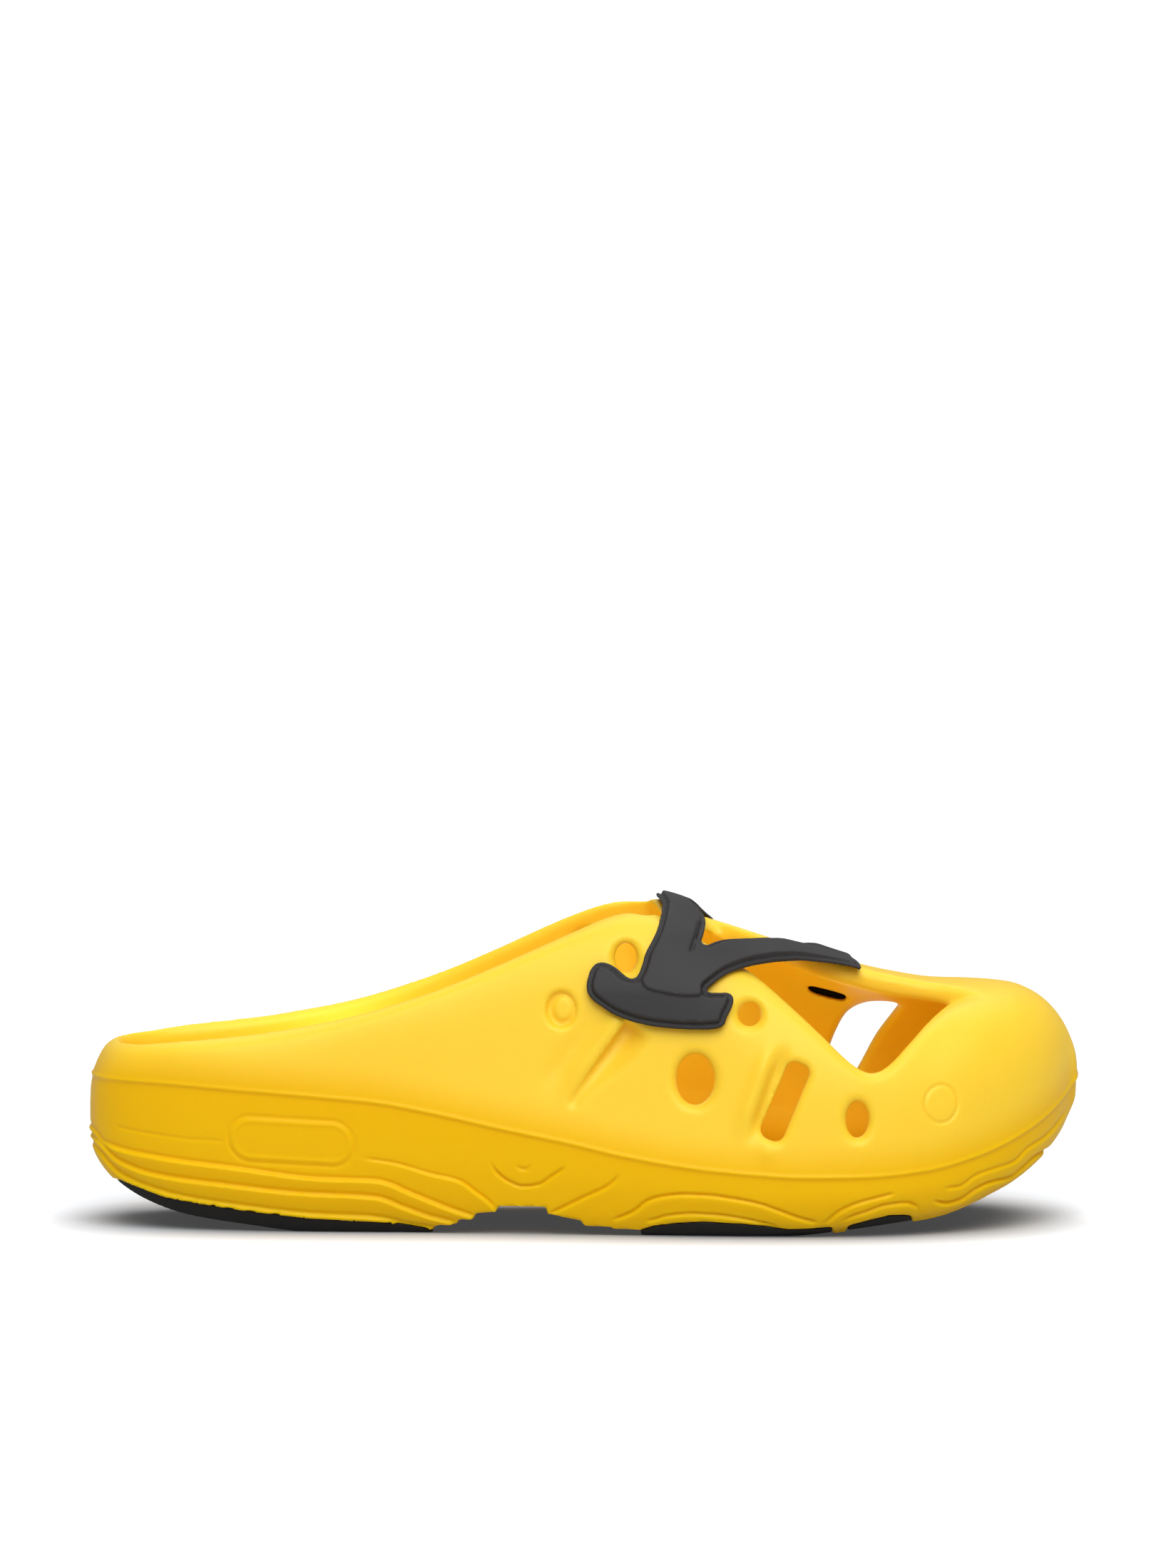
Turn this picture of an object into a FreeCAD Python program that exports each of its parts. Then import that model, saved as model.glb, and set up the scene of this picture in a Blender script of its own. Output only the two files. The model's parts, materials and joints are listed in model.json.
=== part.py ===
import FreeCAD, Part
import math
import os

# Right-foot garden clog, in millimetres. +X runs to the toe, +Y to the inner side of the foot, +Z up.
# Stations are given by their distance from the back of the heel, and the origin is at the middle of the sole.

LENGTH = 300.0
HALF_LENGTH = LENGTH / 2
FAR = 90.0                 # reaches past the clog on any side
STRAP_GAP = 0.4            # between the harness and the foam
ARM_THICKNESS = 3.2
BAR_THICKNESS = 4.2
FOOTBED_GAP = 0.3          # between the footbed and the floor of the shell
FOOTBED_SIDE_GAP = 1.2
FOOTBED_THICKNESS = 4.4
PEG_BASE_RADIUS = 3.2
PEG_TIP_RADIUS = 2.3
PEG_LENGTH = 6.0
PEG_ROOT = 1.5             # how far a peg starts inside its tab
PEG_HOLE_RADIUS = 3.9
PEG_HOLE_DEPTH = 16.0
PEG_HOLE_LEAD = 3.0        # how far outside the foam a peg's hole starts
SPLIT_GAP = 0.25           # each side of the plane where a tab leaves the bridge
INNER_SIDE_SHIFT = 8.0     # how much further forward the inner tab sits than the outer one
FLOOR_OF_SHELL = -1.0      # the sole is made a little deep here, then cut flat at zero
ARMS_BOTTOM = 60.0         # both arms are wholly above this height
BAND_ENDS = (140.0, 256.0)             # stations between which the harness lies
INNER_OPENINGS_START = 12.0            # the inner side's openings are cut from here outwards
OUTWARD_AT_HINGE = (0.86, 0.5)         # across and up, square to the wall beside a hinge

# Outer form: station, bottom, widest level, outer and inner half-width there, crown height,
# crown shift to the inner side, lean of the walls, and the two exponents of the crown.
OUTER = [
    (0.0, 36.0, 44.0, 9.0, 9.0, 50.0, 0.0, 0.0, 2.5, 2.0),
    (2.0, 23.5, 44.3, 14.5, 14.5, 54.0, 0.0, 0.0, 3.0, 2.0),
    (5.0, 18.0, 44.5, 19.0, 19.0, 57.5, 0.0, 0.0, 3.0, 2.0),
    (10.0, 13.5, 44.6, 24.0, 24.0, 61.5, 0.0, 0.0, 3.0, 2.0),
    (18.0, 8.6, 44.6, 29.0, 29.0, 65.0, 0.0, 0.0, 3.0, 2.0),
    (30.0, 4.6, 44.0, 33.5, 33.3, 68.0, 0.0, 0.0, 3.0, 2.0),
    (48.0, 1.8, 42.9, 37.0, 36.0, 71.0, 0.0, 0.0, 3.0, 2.0),
    (70.0, FLOOR_OF_SHELL, 41.2, 39.0, 37.0, 77.0, 0.0, 0.05, 3.5, 2.2),
    (92.0, FLOOR_OF_SHELL, 38.8, 40.3, 36.8, 82.0, 0.0, 0.10, 5.0, 2.5),
    (115.0, FLOOR_OF_SHELL, 34.2, 41.8, 36.6, 88.5, 0.0, 0.18, 7.0, 2.8),
    (140.0, FLOOR_OF_SHELL, 28.8, 44.8, 37.2, 96.0, 0.0, 0.25, 8.5, 3.0),
    (160.0, FLOOR_OF_SHELL, 24.4, 47.6, 39.6, 99.5, 0.0, 0.28, 9.0, 3.0),
    (172.0, FLOOR_OF_SHELL, 22.3, 49.3, 41.6, 98.8, 0.0, 0.28, 8.5, 3.0),
    (187.0, FLOOR_OF_SHELL, 20.3, 51.1, 44.6, 93.6, 0.0, 0.26, 7.0, 2.8),
    (200.0, FLOOR_OF_SHELL, 19.0, 52.3, 47.6, 88.0, 0.0, 0.22, 5.5, 2.6),
    (214.0, -0.4, 18.4, 53.0, 50.2, 83.0, 0.0, 0.16, 4.2, 2.5),
    (228.0, 1.2, 18.4, 52.6, 52.2, 79.0, 0.5, 0.10, 3.4, 2.4),
    (242.0, 3.0, 18.9, 50.2, 53.0, 75.6, 1.5, 0.06, 3.0, 2.4),
    (256.0, 5.0, 20.8, 45.6, 51.6, 73.6, 3.0, 0.03, 2.8, 2.4),
    (268.0, 8.9, 23.8, 39.4, 47.8, 73.0, 5.0, 0.0, 2.8, 2.4),
    (279.0, 13.6, 28.4, 31.4, 41.4, 72.0, 7.0, 0.0, 2.6, 2.3),
    (287.0, 18.4, 32.8, 22.8, 34.0, 68.6, 8.0, 0.0, 2.4, 2.2),
    (293.0, 23.6, 37.0, 13.0, 26.4, 63.4, 8.0, 0.0, 2.2, 2.1),
    (297.5, 31.0, 41.0, 2.0, 18.4, 56.0, 8.0, 0.0, 2.0, 2.0),
    (300.0, 38.0, 43.5, -3.4, 12.6, 49.0, 8.0, 0.0, 2.0, 2.0),
]

# Foot space: station, floor, level where the walls begin to lean, outer and inner half-width at the floor,
# crown height, crown shift, lean, exponents. Up to the instep the crown is above the collar, to stay open.
HOLLOW = [
    (9.0, 31.0, 64.0, 10.0, 10.0, 95.0, 0.0, 0.0, 8.0, 3.0),
    (13.0, 31.0, 64.0, 17.5, 17.5, 95.0, 0.0, 0.0, 8.0, 3.0),
    (20.0, 31.0, 64.0, 22.5, 22.5, 95.0, 0.0, 0.0, 8.0, 3.0),
    (32.0, 31.0, 64.0, 26.4, 26.0, 95.0, 0.0, 0.0, 8.0, 3.0),
    (50.0, 30.8, 64.0, 28.4, 27.6, 95.0, 0.0, 0.0, 8.0, 3.0),
    (75.0, 30.0, 64.0, 29.6, 28.2, 95.0, 0.0, 0.0, 9.0, 3.0),
    (100.0, 28.0, 58.0, 30.6, 27.8, 102.0, 0.0, 0.05, 10.0, 3.0),
    (125.0, 24.8, 52.0, 32.6, 27.8, 112.0, 0.0, 0.36, 12.0, 3.0),
    (145.0, 21.6, 47.0, 35.4, 29.4, 120.0, 0.0, 0.57, 12.0, 3.0),
    (160.0, 19.2, 45.0, 38.0, 31.6, 118.0, 0.0, 0.69, 12.0, 3.0),
    (174.0, 17.2, 38.5, 41.0, 34.6, 93.0, 0.0, 0.28, 8.5, 2.8),
    (188.0, 15.8, 35.0, 43.4, 38.0, 86.5, 0.0, 0.24, 6.5, 2.7),
    (202.0, 15.0, 32.0, 45.2, 41.2, 80.8, 0.0, 0.20, 5.0, 2.5),
    (216.0, 14.8, 29.5, 45.8, 43.8, 76.4, 0.0, 0.15, 4.0, 2.5),
    (229.0, 15.1, 27.6, 45.3, 45.1, 73.0, 0.5, 0.10, 3.4, 2.4),
    (244.0, 16.4, 27.0, 42.6, 45.4, 69.6, 1.5, 0.06, 3.0, 2.4),
    (258.0, 19.2, 28.0, 37.6, 43.4, 67.8, 3.5, 0.03, 2.8, 2.4),
    (270.0, 23.2, 30.5, 30.4, 38.4, 66.0, 5.5, 0.0, 2.6, 2.3),
    (280.0, 28.0, 34.5, 20.6, 30.6, 62.0, 7.0, 0.0, 2.4, 2.2),
    (287.0, 33.0, 38.5, 8.6, 21.4, 55.0, 8.0, 0.0, 2.2, 2.1),
]

# Side outlines, as distance from the heel and height.
COLLAR_AND_SLIT = [
    (-10, 57), (16, 57), (37.5, 58.5), (59, 60.8), (81, 65), (102.5, 71.5), (124, 79.8), (146, 89.3),
    (158, 94.3), (165, 96.2), (171, 95.3), (186, 86.5), (202, 78), (236, 50.6), (239.5, 49.4),
    (243, 51), (252, 61.4), (261, 68.5), (264, 130), (-10, 130),
]
INNER_WINDOW = [(232, 64), (246, 64), (240, 53), (233, 41), (229, 33), (221, 33), (222, 42), (226, 50)]
INNER_VENT = [(219, 69), (230, 66), (229, 63), (220, 65.5)]
OUTER_SLOT = [(211.6, 52), (218.4, 52), (210.2, 30.6), (203.0, 30.6)]
ARCH = [
    (105, -5), (105, 2.1), (111, 3.8), (117, 5.7), (124, 8.6), (138.5, 8.6), (140, 6.4), (149, 4.4),
    (158, 2.6), (166, 1.6), (166, -5),
]
HEEL_PAD = [(4, -5), (4, 19), (11, 14.8), (24.5, 10.6), (48, 8), (85, 4.7), (101, 4.2), (101, -5)]
BALL_PAD = [(167.5, -5), (167.5, 3), (185, 4.8), (204, 4), (226, 4.4), (226, -5)]
TOE_PAD = [(230, -5), (230, 6), (245, 7.4), (256, 9), (268, 13), (278, 17.4), (286, 22), (286, -5)]

# Holes in the outer wall: distance from the heel, height, width and height of the oval.
OUTER_HOLES = [(162.7, 83.6, 6.4, 8.6), (200, 67, 6.4, 6.4), (183.7, 48, 11.2, 14.5), (233, 36, 6, 10)]
INNER_HOLES = [(150, 82, 6.4, 8.6), (170, 54, 11.2, 14.5)]

# Plan of the slit's inner edge, where the inner panel runs on into the spine.
OPENING_PLAN = [
    (-10, -FAR), (-10, FAR), (166, FAR), (166, 25), (180, 20), (190, 15.5), (200, 8), (210, -1),
    (222, -8), (264, -8), (264, -FAR),
]

# Harness: plan of its two arms, side outlines of its lower parts.
REAR_ARM_PLAN = [(168, -60), (171, -34), (171.5, 0), (174, 34), (176, 60), (196, 60), (188, 34), (185.5, 0),
                 (187, -34), (192, -60)]
FRONT_ARM_PLAN = [
    (186, -60), (186.5, -31), (194.7, -24), (204.6, -15), (213, -2), (216, 10), (213, 24), (205, 34),
    (193, 46), (193, 60), (216, 60), (220, 39), (229, 30), (234, 18), (235, 8), (232.5, -3),
    (227.8, -14), (214.6, -26.5), (204.6, -35), (199, -40), (199, -60),
]
BAR_SIDE = [
    (157.2, 81.2), (151.6, 74.3), (153, 68.3), (155, 66.4), (168, 62.4), (181.4, 60.9), (189.2, 61.4),
    (194.7, 68.9), (194, 71.5), (188, 73), (176, 74), (165, 77),
]
NECK_SIDE = [
    (167, 74), (167.5, 82), (170, 96), (214, 96), (209, 81), (204.6, 79.6), (199.9, 78.1), (193.4, 75.4),
    (187, 72),
]
INNER_NECK_SIDE = [
    (167, 74), (167.5, 82), (170, 96), (224, 90), (222, 71), (214, 67.5), (204, 68.5), (193.4, 71),
    (187, 72),
]
PEG_PLACES = [(163.5, 71.2), (186.0, 66.8)]

# Lines that the tabs swing about: a point on it as distance from the heel and height, and its slope.
HINGE_PLACE = (185.0, 83.5)
HINGE_SLOPE = -15.0
HINGE_PROBES = (-15, -8, 0, 8, 15)     # places along the line where it must be clear of the wall

CROWN_STEPS = (0, 1.5, 8, 20, 36, 54, 72, 90)     # degrees round the crown's quarter ellipse


def along(x):
    """The model's X of a distance from the back of the heel."""
    return x - HALF_LENGTH


def point(x, y, z):
    return FreeCAD.Vector(along(x), y, z)


def quarter(width, level, crown, shift, lean, upper, side):
    """Points of one side of a section from its widest level to its crown, as (y, z), y positive outwards."""
    points = []
    for degrees in CROWN_STEPS:
        angle = math.radians(degrees)
        rise = math.sin(angle) ** (2 / upper)
        reach = (1 - lean * rise) * math.cos(angle) ** (2 / side)
        points.append((shift + (width - shift) * reach, level + (crown - level) * rise))
    return points


def crown_edge(x, level, outer, inner, crown, shift, lean, upper, side):
    """The curve over the top of one section, from the outer side of the foot to the inner side."""
    out = [(-y, z) for y, z in quarter(outer, level, crown, -shift, lean, upper, side)]
    back = quarter(inner, level, crown, shift, lean, upper, side)[:-1]
    curve = Part.BSplineCurve()
    curve.interpolate([point(x, y, z) for y, z in out + back[::-1]])
    return curve.toShape()


def spline(x, pairs):
    curve = Part.BSplineCurve()
    curve.interpolate([point(x, y, z) for y, z in pairs])
    return curve.toShape()


def line(x, start, end):
    return Part.makeLine(point(x, *start), point(x, *end))


def side_below(centre, width, level, bottom):
    """The side of the sole: straight down at first, then tucked under. width is signed."""
    depth = level - bottom
    reach = width - centre
    shares = ((1.0, 0.0), (0.995, 0.3), (0.965, 0.62), (0.91, 0.88), (0.84, 1.0))
    return [(centre + reach * share, level - depth * fall) for share, fall in shares]


def outer_section(station, grow):
    x, bottom, level, outer, inner, crown, shift, lean, upper, side = station
    centre = (inner - outer) / 2
    outer, inner, crown, bottom = outer + grow, inner + grow, crown + grow, bottom - grow
    inner_side = side_below(centre, inner, level, bottom)
    outer_side = side_below(centre, -outer, level, bottom)
    edges = [
        crown_edge(x, level, outer, inner, crown, shift, lean, upper, side),
        spline(x, inner_side),
        line(x, inner_side[-1], outer_side[-1]),
        spline(x, outer_side[::-1]),
    ]
    return Part.Wire(edges)


def hollow_section(station):
    x, floor, level, outer, inner, crown, shift, lean, upper, side = station
    edges = [
        crown_edge(x, level, outer, inner, crown, shift, lean, upper, side),
        line(x, (inner, level), (inner, floor)),
        line(x, (inner, floor), (-outer, floor)),
        line(x, (-outer, floor), (-outer, level)),
    ]
    return Part.Wire(edges)


def loft(wires):
    return Part.makeLoft(wires, True, True)


def outer_form(grow=0.0, first=0.0, last=LENGTH):
    return loft([outer_section(s, grow) for s in OUTER if first <= s[0] <= last])


def side_prism(outline, low=-FAR, high=FAR):
    """A side outline, carried across the foot from low to high."""
    corners = [point(x, low, z) for x, z in outline]
    face = Part.Face(Part.makePolygon(corners + corners[:1]))
    return face.extrude(FreeCAD.Vector(0, high - low, 0))


def plan_prism(outline, low=-FAR, high=2 * FAR):
    corners = [point(x, y, low) for x, y in outline]
    face = Part.Face(Part.makePolygon(corners + corners[:1]))
    return face.extrude(FreeCAD.Vector(0, 0, high - low))


def oval_prism(x, z, width, height, low, high):
    """An oval hole across the foot."""
    long_axis = max(width, height) / 2
    short_axis = min(width, height) / 2
    ellipse = Part.Ellipse(FreeCAD.Vector(0, 0, 0), long_axis, short_axis)
    shape = Part.Face(Part.Wire(ellipse.toShape()))
    shape = shape.extrude(FreeCAD.Vector(0, 0, high - low))
    shape.rotate(FreeCAD.Vector(0, 0, 0), FreeCAD.Vector(1, 0, 0), -90)
    if height > width:
        shape.rotate(FreeCAD.Vector(0, 0, 0), FreeCAD.Vector(0, 1, 0), 90)
    shape.translate(point(x, low, z))
    return shape


def half_space(place, normal):
    """A large block on the side of a plane that its normal points to."""
    size = 4 * FAR
    block = Part.makeBox(size, size, size, FreeCAD.Vector(-size / 2, -size / 2, 0))
    block.Placement = FreeCAD.Placement(place, FreeCAD.Rotation(FreeCAD.Vector(0, 0, 1), normal))
    return block


def surface_y(x, z, grow, sign):
    """Where the outer form, grown by some millimetres, has its side wall at a place in side view."""
    for one, two in zip(OUTER, OUTER[1:]):
        if one[0] <= x <= two[0]:
            share = (x - one[0]) / (two[0] - one[0])
            found = [a + (b - a) * share for a, b in zip(one, two)]
            break
    level, outer, inner, crown, shift, lean, upper, side = found[2:]
    width = (inner if sign > 0 else outer) + grow
    shift = sign * shift
    rise = (z - level) / (crown + grow - level)
    reach = (1 - lean * rise) * (1 - rise ** upper) ** (1 / side)
    return sign * (shift + (width - shift) * reach)


def hinge(sign):
    """A point on a tab's hinge line and its direction. The line is just outside the arms."""
    move = INNER_SIDE_SHIFT if sign > 0 else 0.0
    x, z = HINGE_PLACE
    slope = math.radians(HINGE_SLOPE)
    reach = [abs(surface_y(x + move + step, z + step * math.tan(slope), STRAP_GAP + ARM_THICKNESS, sign))
             for step in HINGE_PROBES]
    place = point(x + move, sign * max(reach), z)
    return place, FreeCAD.Vector(math.cos(slope), 0, math.sin(slope))


def upward(sign):
    """Up along the wall at the hinge, square to the hinge line."""
    place, direction = hinge(sign)
    across, rise = OUTWARD_AT_HINGE
    outward = FreeCAD.Vector(0, sign * across, rise)
    return direction.cross(outward) * sign


def peg_line(sign, x, z):
    """Where a peg leaves the back of its tab, and the way it points: square to its arm about the hinge."""
    base = point(x, surface_y(x, z, STRAP_GAP, sign), z)
    place, direction = hinge(sign)
    arm = base - place
    arm = arm - direction * arm.dot(direction)
    inward = direction.cross(arm) * (-sign)
    inward.normalize()
    if inward.y * sign > 0:
        inward = inward * -1
    return base, inward


def peg_places(sign):
    move = INNER_SIDE_SHIFT if sign > 0 else 0.0
    return [(x + move, z) for x, z in PEG_PLACES]


def peg(sign, x, z):
    base, inward = peg_line(sign, x, z)
    start = base - inward * PEG_ROOT
    return Part.makeCone(PEG_BASE_RADIUS, PEG_TIP_RADIUS, PEG_LENGTH + PEG_ROOT, start, inward)


def peg_hole(sign, x, z):
    base, inward = peg_line(sign, x, z)
    start = base - inward * PEG_HOLE_LEAD
    return Part.makeCylinder(PEG_HOLE_RADIUS, PEG_HOLE_DEPTH, start, inward)


def foot_space():
    """What the foot uses: the hollow, and the opening from the collar to the outer side of the toe cap."""
    opening = side_prism(COLLAR_AND_SLIT).common(plan_prism(OPENING_PLAN))
    return loft([hollow_section(s) for s in HOLLOW]), opening


def wall_openings():
    cutters = [side_prism(outline, INNER_OPENINGS_START, FAR) for outline in (INNER_WINDOW, INNER_VENT)]
    cutters += [side_prism(OUTER_SLOT, -FAR, 0)]
    cutters += [oval_prism(x, z, width, height, -FAR, 0) for x, z, width, height in OUTER_HOLES]
    cutters += [oval_prism(x, z, width, height, 0, FAR) for x, z, width, height in INNER_HOLES]
    for sign in (-1, 1):
        cutters += [peg_hole(sign, x, z) for x, z in peg_places(sign)]
    return cutters


def sole_and_upper():
    """The outer form with a flat underside and a stepped arch."""
    below = Part.makeBox(LENGTH * 2, FAR * 4, FAR, FreeCAD.Vector(-LENGTH, -FAR * 2, -FAR))
    return outer_form().cut([below, side_prism(ARCH)])


def eva_shell(whole):
    pads = [side_prism(outline) for outline in (HEEL_PAD, BALL_PAD, TOE_PAD)]
    return whole.cut(list(foot_space()) + pads + wall_openings())


def outsole_pad(whole, outline):
    return whole.common(side_prism(outline))


def footbed():
    """A thin bed on the floor of the hollow, clear of its walls."""
    wires = []
    for x, floor, level, outer, inner, *rest in HOLLOW[1:-1]:
        low = floor + FOOTBED_GAP
        high = low + FOOTBED_THICKNESS
        left, right = -outer + FOOTBED_SIDE_GAP, inner - FOOTBED_SIDE_GAP
        corners = [point(x, left, low), point(x, right, low), point(x, right, high), point(x, left, high)]
        wires.append(Part.makePolygon(corners + corners[:1]))
    return loft(wires)


def band(thickness):
    """A skin of rubber that lies over the foam, before its outline is cut."""
    inside = outer_form(STRAP_GAP, *BAND_ENDS)
    return outer_form(STRAP_GAP + thickness, *BAND_ENDS).cut(inside)


def strap_bridge(arms_band):
    """The two arms above the tabs: one over the instep, one over the spine."""
    arms = plan_prism(REAR_ARM_PLAN, ARMS_BOTTOM).fuse(plan_prism(FRONT_ARM_PLAN, ARMS_BOTTOM))
    shape = arms_band.common(arms)
    for sign in (-1, 1):
        place, direction = hinge(sign)
        up = upward(sign)
        shape = shape.common(half_space(place + up * SPLIT_GAP, up))
    return shape


def moved(outline, sign):
    return [(x + (INNER_SIDE_SHIFT if sign > 0 else 0.0), z) for x, z in outline]


def tab(arms_band, bar_band, sign):
    """One end of the harness: the neck where its arms meet, the T-bar below, and the pegs on its back."""
    low, high = (0, FAR) if sign > 0 else (-FAR, 0)
    neck = INNER_NECK_SIDE if sign > 0 else NECK_SIDE
    shape = arms_band.common(side_prism(moved(neck, sign), low, high))
    shape = shape.fuse(bar_band.common(side_prism(moved(BAR_SIDE, sign), low, high)))
    place, direction = hinge(sign)
    up = upward(sign)
    shape = shape.common(half_space(place - up * SPLIT_GAP, up * -1))
    return shape.fuse([peg(sign, x, z) for x, z in peg_places(sign)]).removeSplitter()


def largest(shape):
    """The biggest solid of a shape, without slivers that a cut may leave."""
    return max(shape.Solids, key=lambda solid: solid.Volume)


def main():
    whole = sole_and_upper()
    arms_band = band(ARM_THICKNESS)
    bar_band = band(BAR_THICKNESS)
    nodes = {
        "eva_shell": eva_shell(whole),
        "heel_outsole": outsole_pad(whole, HEEL_PAD),
        "ball_outsole": outsole_pad(whole, BALL_PAD),
        "toe_outsole": outsole_pad(whole, TOE_PAD),
        "footbed": footbed(),
        "strap_bridge": strap_bridge(arms_band),
        "outer_strap_tab": tab(arms_band, bar_band, -1),
        "inner_strap_tab": tab(arms_band, bar_band, 1),
    }
    os.makedirs("parts", exist_ok=True)
    for name, shape in nodes.items():
        solid = largest(shape)
        solid.exportStep(f"parts/{name}.step")
        print(name, "valid", solid.isValid(), "volume", round(solid.Volume), solid.optimalBoundingBox())


main()
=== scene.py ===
import json
import math

import bmesh
import bpy
import numpy as np
import openvdb
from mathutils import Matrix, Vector


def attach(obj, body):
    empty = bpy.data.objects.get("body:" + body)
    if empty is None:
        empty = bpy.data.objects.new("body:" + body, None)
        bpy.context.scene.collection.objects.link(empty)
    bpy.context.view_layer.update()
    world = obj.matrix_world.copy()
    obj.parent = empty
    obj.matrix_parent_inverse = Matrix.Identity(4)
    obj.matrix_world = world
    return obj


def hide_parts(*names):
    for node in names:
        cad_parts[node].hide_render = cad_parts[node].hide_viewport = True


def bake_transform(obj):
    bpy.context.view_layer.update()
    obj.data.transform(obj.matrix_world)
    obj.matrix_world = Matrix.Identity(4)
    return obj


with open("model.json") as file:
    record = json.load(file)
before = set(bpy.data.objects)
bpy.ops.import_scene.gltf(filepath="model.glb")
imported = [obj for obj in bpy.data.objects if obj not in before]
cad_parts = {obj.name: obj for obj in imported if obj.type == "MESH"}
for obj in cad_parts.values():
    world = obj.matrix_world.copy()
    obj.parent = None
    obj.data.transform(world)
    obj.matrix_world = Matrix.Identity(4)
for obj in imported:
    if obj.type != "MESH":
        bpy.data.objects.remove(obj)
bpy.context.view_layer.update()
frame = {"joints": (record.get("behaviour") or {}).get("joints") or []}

# A right-foot garden clog. Shapes are worked out in millimetres, with x counted from the back of the heel,
# +y to the inner side of the foot and z up, and turned into metres about the middle when a mesh is made.
MM = 0.001
HALF = 150.0

SHELL_VOXEL = 0.8
STRAP_VOXEL = 0.42
PAD_VOXEL = 0.6
BAND = 9.0                 # how far from a surface its distance field is known
SHARP_ANGLE = math.radians(60)
SIGHT_ELEVATION = 6.5      # degrees the camera looks down by

# Outer form: station, bottom, widest level, outer and inner half-width, crown, shift, lean, two exponents.
OUTER = [
    (0, 33.8, 34.6, 0.5, 0.5, 35.6, 0, 0, 2, 2),
    (0.3, 29, 35, 8, 8, 42, 0, 0, 2, 2),
    (2, 22.2, 37, 14.5, 14.5, 47.8, 0, 0, 2.1, 2),
    (5, 17.4, 39.6, 19.4, 19.4, 53.4, 0, 0, 2.2, 2),
    (10, 13, 42.4, 24.2, 24.2, 58.8, 0, 0, 2.4, 2),
    (18, 8.4, 44, 29, 29, 63.4, 0, 0, 2.7, 2),
    (30, 4.4, 44, 33.5, 33.3, 68, 0, 0, 3, 2),
    (48, 1.6, 42.9, 37, 36, 71, 0, 0, 3, 2),
    (70, -0.8, 41.2, 39, 37, 77, 0, 0.05, 3.5, 2.2),
    (92, -1, 38.8, 40.3, 36.8, 82, 0, 0.10, 5, 2.5),
    (115, -1, 34.2, 41.8, 36.6, 88.5, 0, 0.18, 7, 2.8),
    (140, -1, 28.8, 44.8, 37.2, 95.5, 0, 0.25, 8.5, 3),
    (160, -1, 24.4, 47.6, 39.6, 98.6, 0, 0.28, 9, 3),
    (172, -1, 22.3, 49.3, 41.6, 97.8, 0, 0.28, 8.5, 3),
    (187, -1, 20.3, 51.1, 44.6, 93, 0, 0.26, 7, 2.8),
    (200, -1, 19, 52.3, 47.6, 87.7, 0, 0.22, 5.5, 2.6),
    (214, -0.4, 18.4, 53, 50.2, 83, 0, 0.16, 4.2, 2.5),
    (228, 1.2, 18.4, 52.6, 52.2, 79, 0.5, 0.10, 3.4, 2.4),
    (242, 3, 18.9, 50.2, 53, 75.6, 1.5, 0.06, 3, 2.4),
    (256, 5, 20.8, 45.6, 51.6, 73.4, 3, 0.03, 2.8, 2.4),
    (268, 8.9, 23.8, 39.4, 47.8, 72.9, 5, 0, 2.8, 2.4),
    (279, 14.3, 28.4, 31.4, 41.4, 71.8, 7, 0, 2.6, 2.3),
    (287, 19.9, 32.8, 22.8, 34, 68.6, 8, 0, 2.4, 2.2),
    (293, 25.6, 37, 13, 26.4, 63.4, 8, 0, 2.2, 2.1),
    (297.5, 32.4, 41, 2, 18.4, 56, 8, 0, 2, 2),
    (299.6, 37.6, 43.2, -2.6, 13, 49.4, 8, 0, 2, 2),
    (300, 42, 43.6, -7.4, 8.4, 45, 8, 0, 2, 2),
]

# Foot space: station, floor, level where the walls begin to lean, and so on as above. Round the heel only the
# half-widths change, so its rows are made from (station, outer, inner).
HEEL_HOLLOW = [(9.6, 0.6, 0.6), (10.2, 8.4, 8.4), (13.6, 16.6, 16.6), (20, 22.5, 22.5), (32, 26.4, 26)]
HOLLOW = [(x, 31, 64, outer, inner, 95, 0, 0, 8, 3) for x, outer, inner in HEEL_HOLLOW] + [
    (50, 30.8, 64, 28.4, 27.6, 95, 0, 0, 8, 3),
    (75, 30, 64, 29.6, 28.2, 95, 0, 0, 9, 3),
    (100, 28, 58, 30.6, 27.8, 102, 0, 0.05, 10, 3),
    (125, 24.8, 52, 32.6, 27.8, 112, 0, 0.36, 12, 3),
    (145, 21.6, 47, 35.4, 29.4, 120, 0, 0.57, 12, 3),
    (160, 19.2, 45, 38, 31.6, 118, 0, 0.66, 12, 3),
    (174, 17.2, 38.5, 41, 34.6, 92.4, 0, 0.28, 8.5, 2.8),
    (188, 15.8, 35, 43.4, 38, 86.5, 0, 0.24, 6.5, 2.7),
    (202, 15, 32, 45.2, 41.2, 80.8, 0, 0.20, 5, 2.5),
    (216, 14.8, 29.5, 45.8, 43.8, 75.8, 0, 0.15, 4, 2.5),
    (229, 15.1, 27.6, 45.3, 45.1, 71.9, 0.5, 0.10, 3.4, 2.4),
    (244, 16.4, 27, 42.6, 45.4, 68.5, 1.5, 0.06, 3, 2.4),
    (258, 19.2, 28, 37.6, 43.4, 67.2, 3.5, 0.03, 2.8, 2.4),
    (270, 23.2, 30.5, 30.4, 38.4, 66, 5.5, 0, 2.6, 2.3),
    (280, 28, 34.5, 20.6, 30.6, 62, 7, 0, 2.4, 2.2),
    (287, 33, 38.5, 8.6, 21.4, 55, 8, 0, 2.2, 2.1),
    (289, 38, 42, -6, 10, 47, 8, 0, 2, 2),
]

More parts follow.
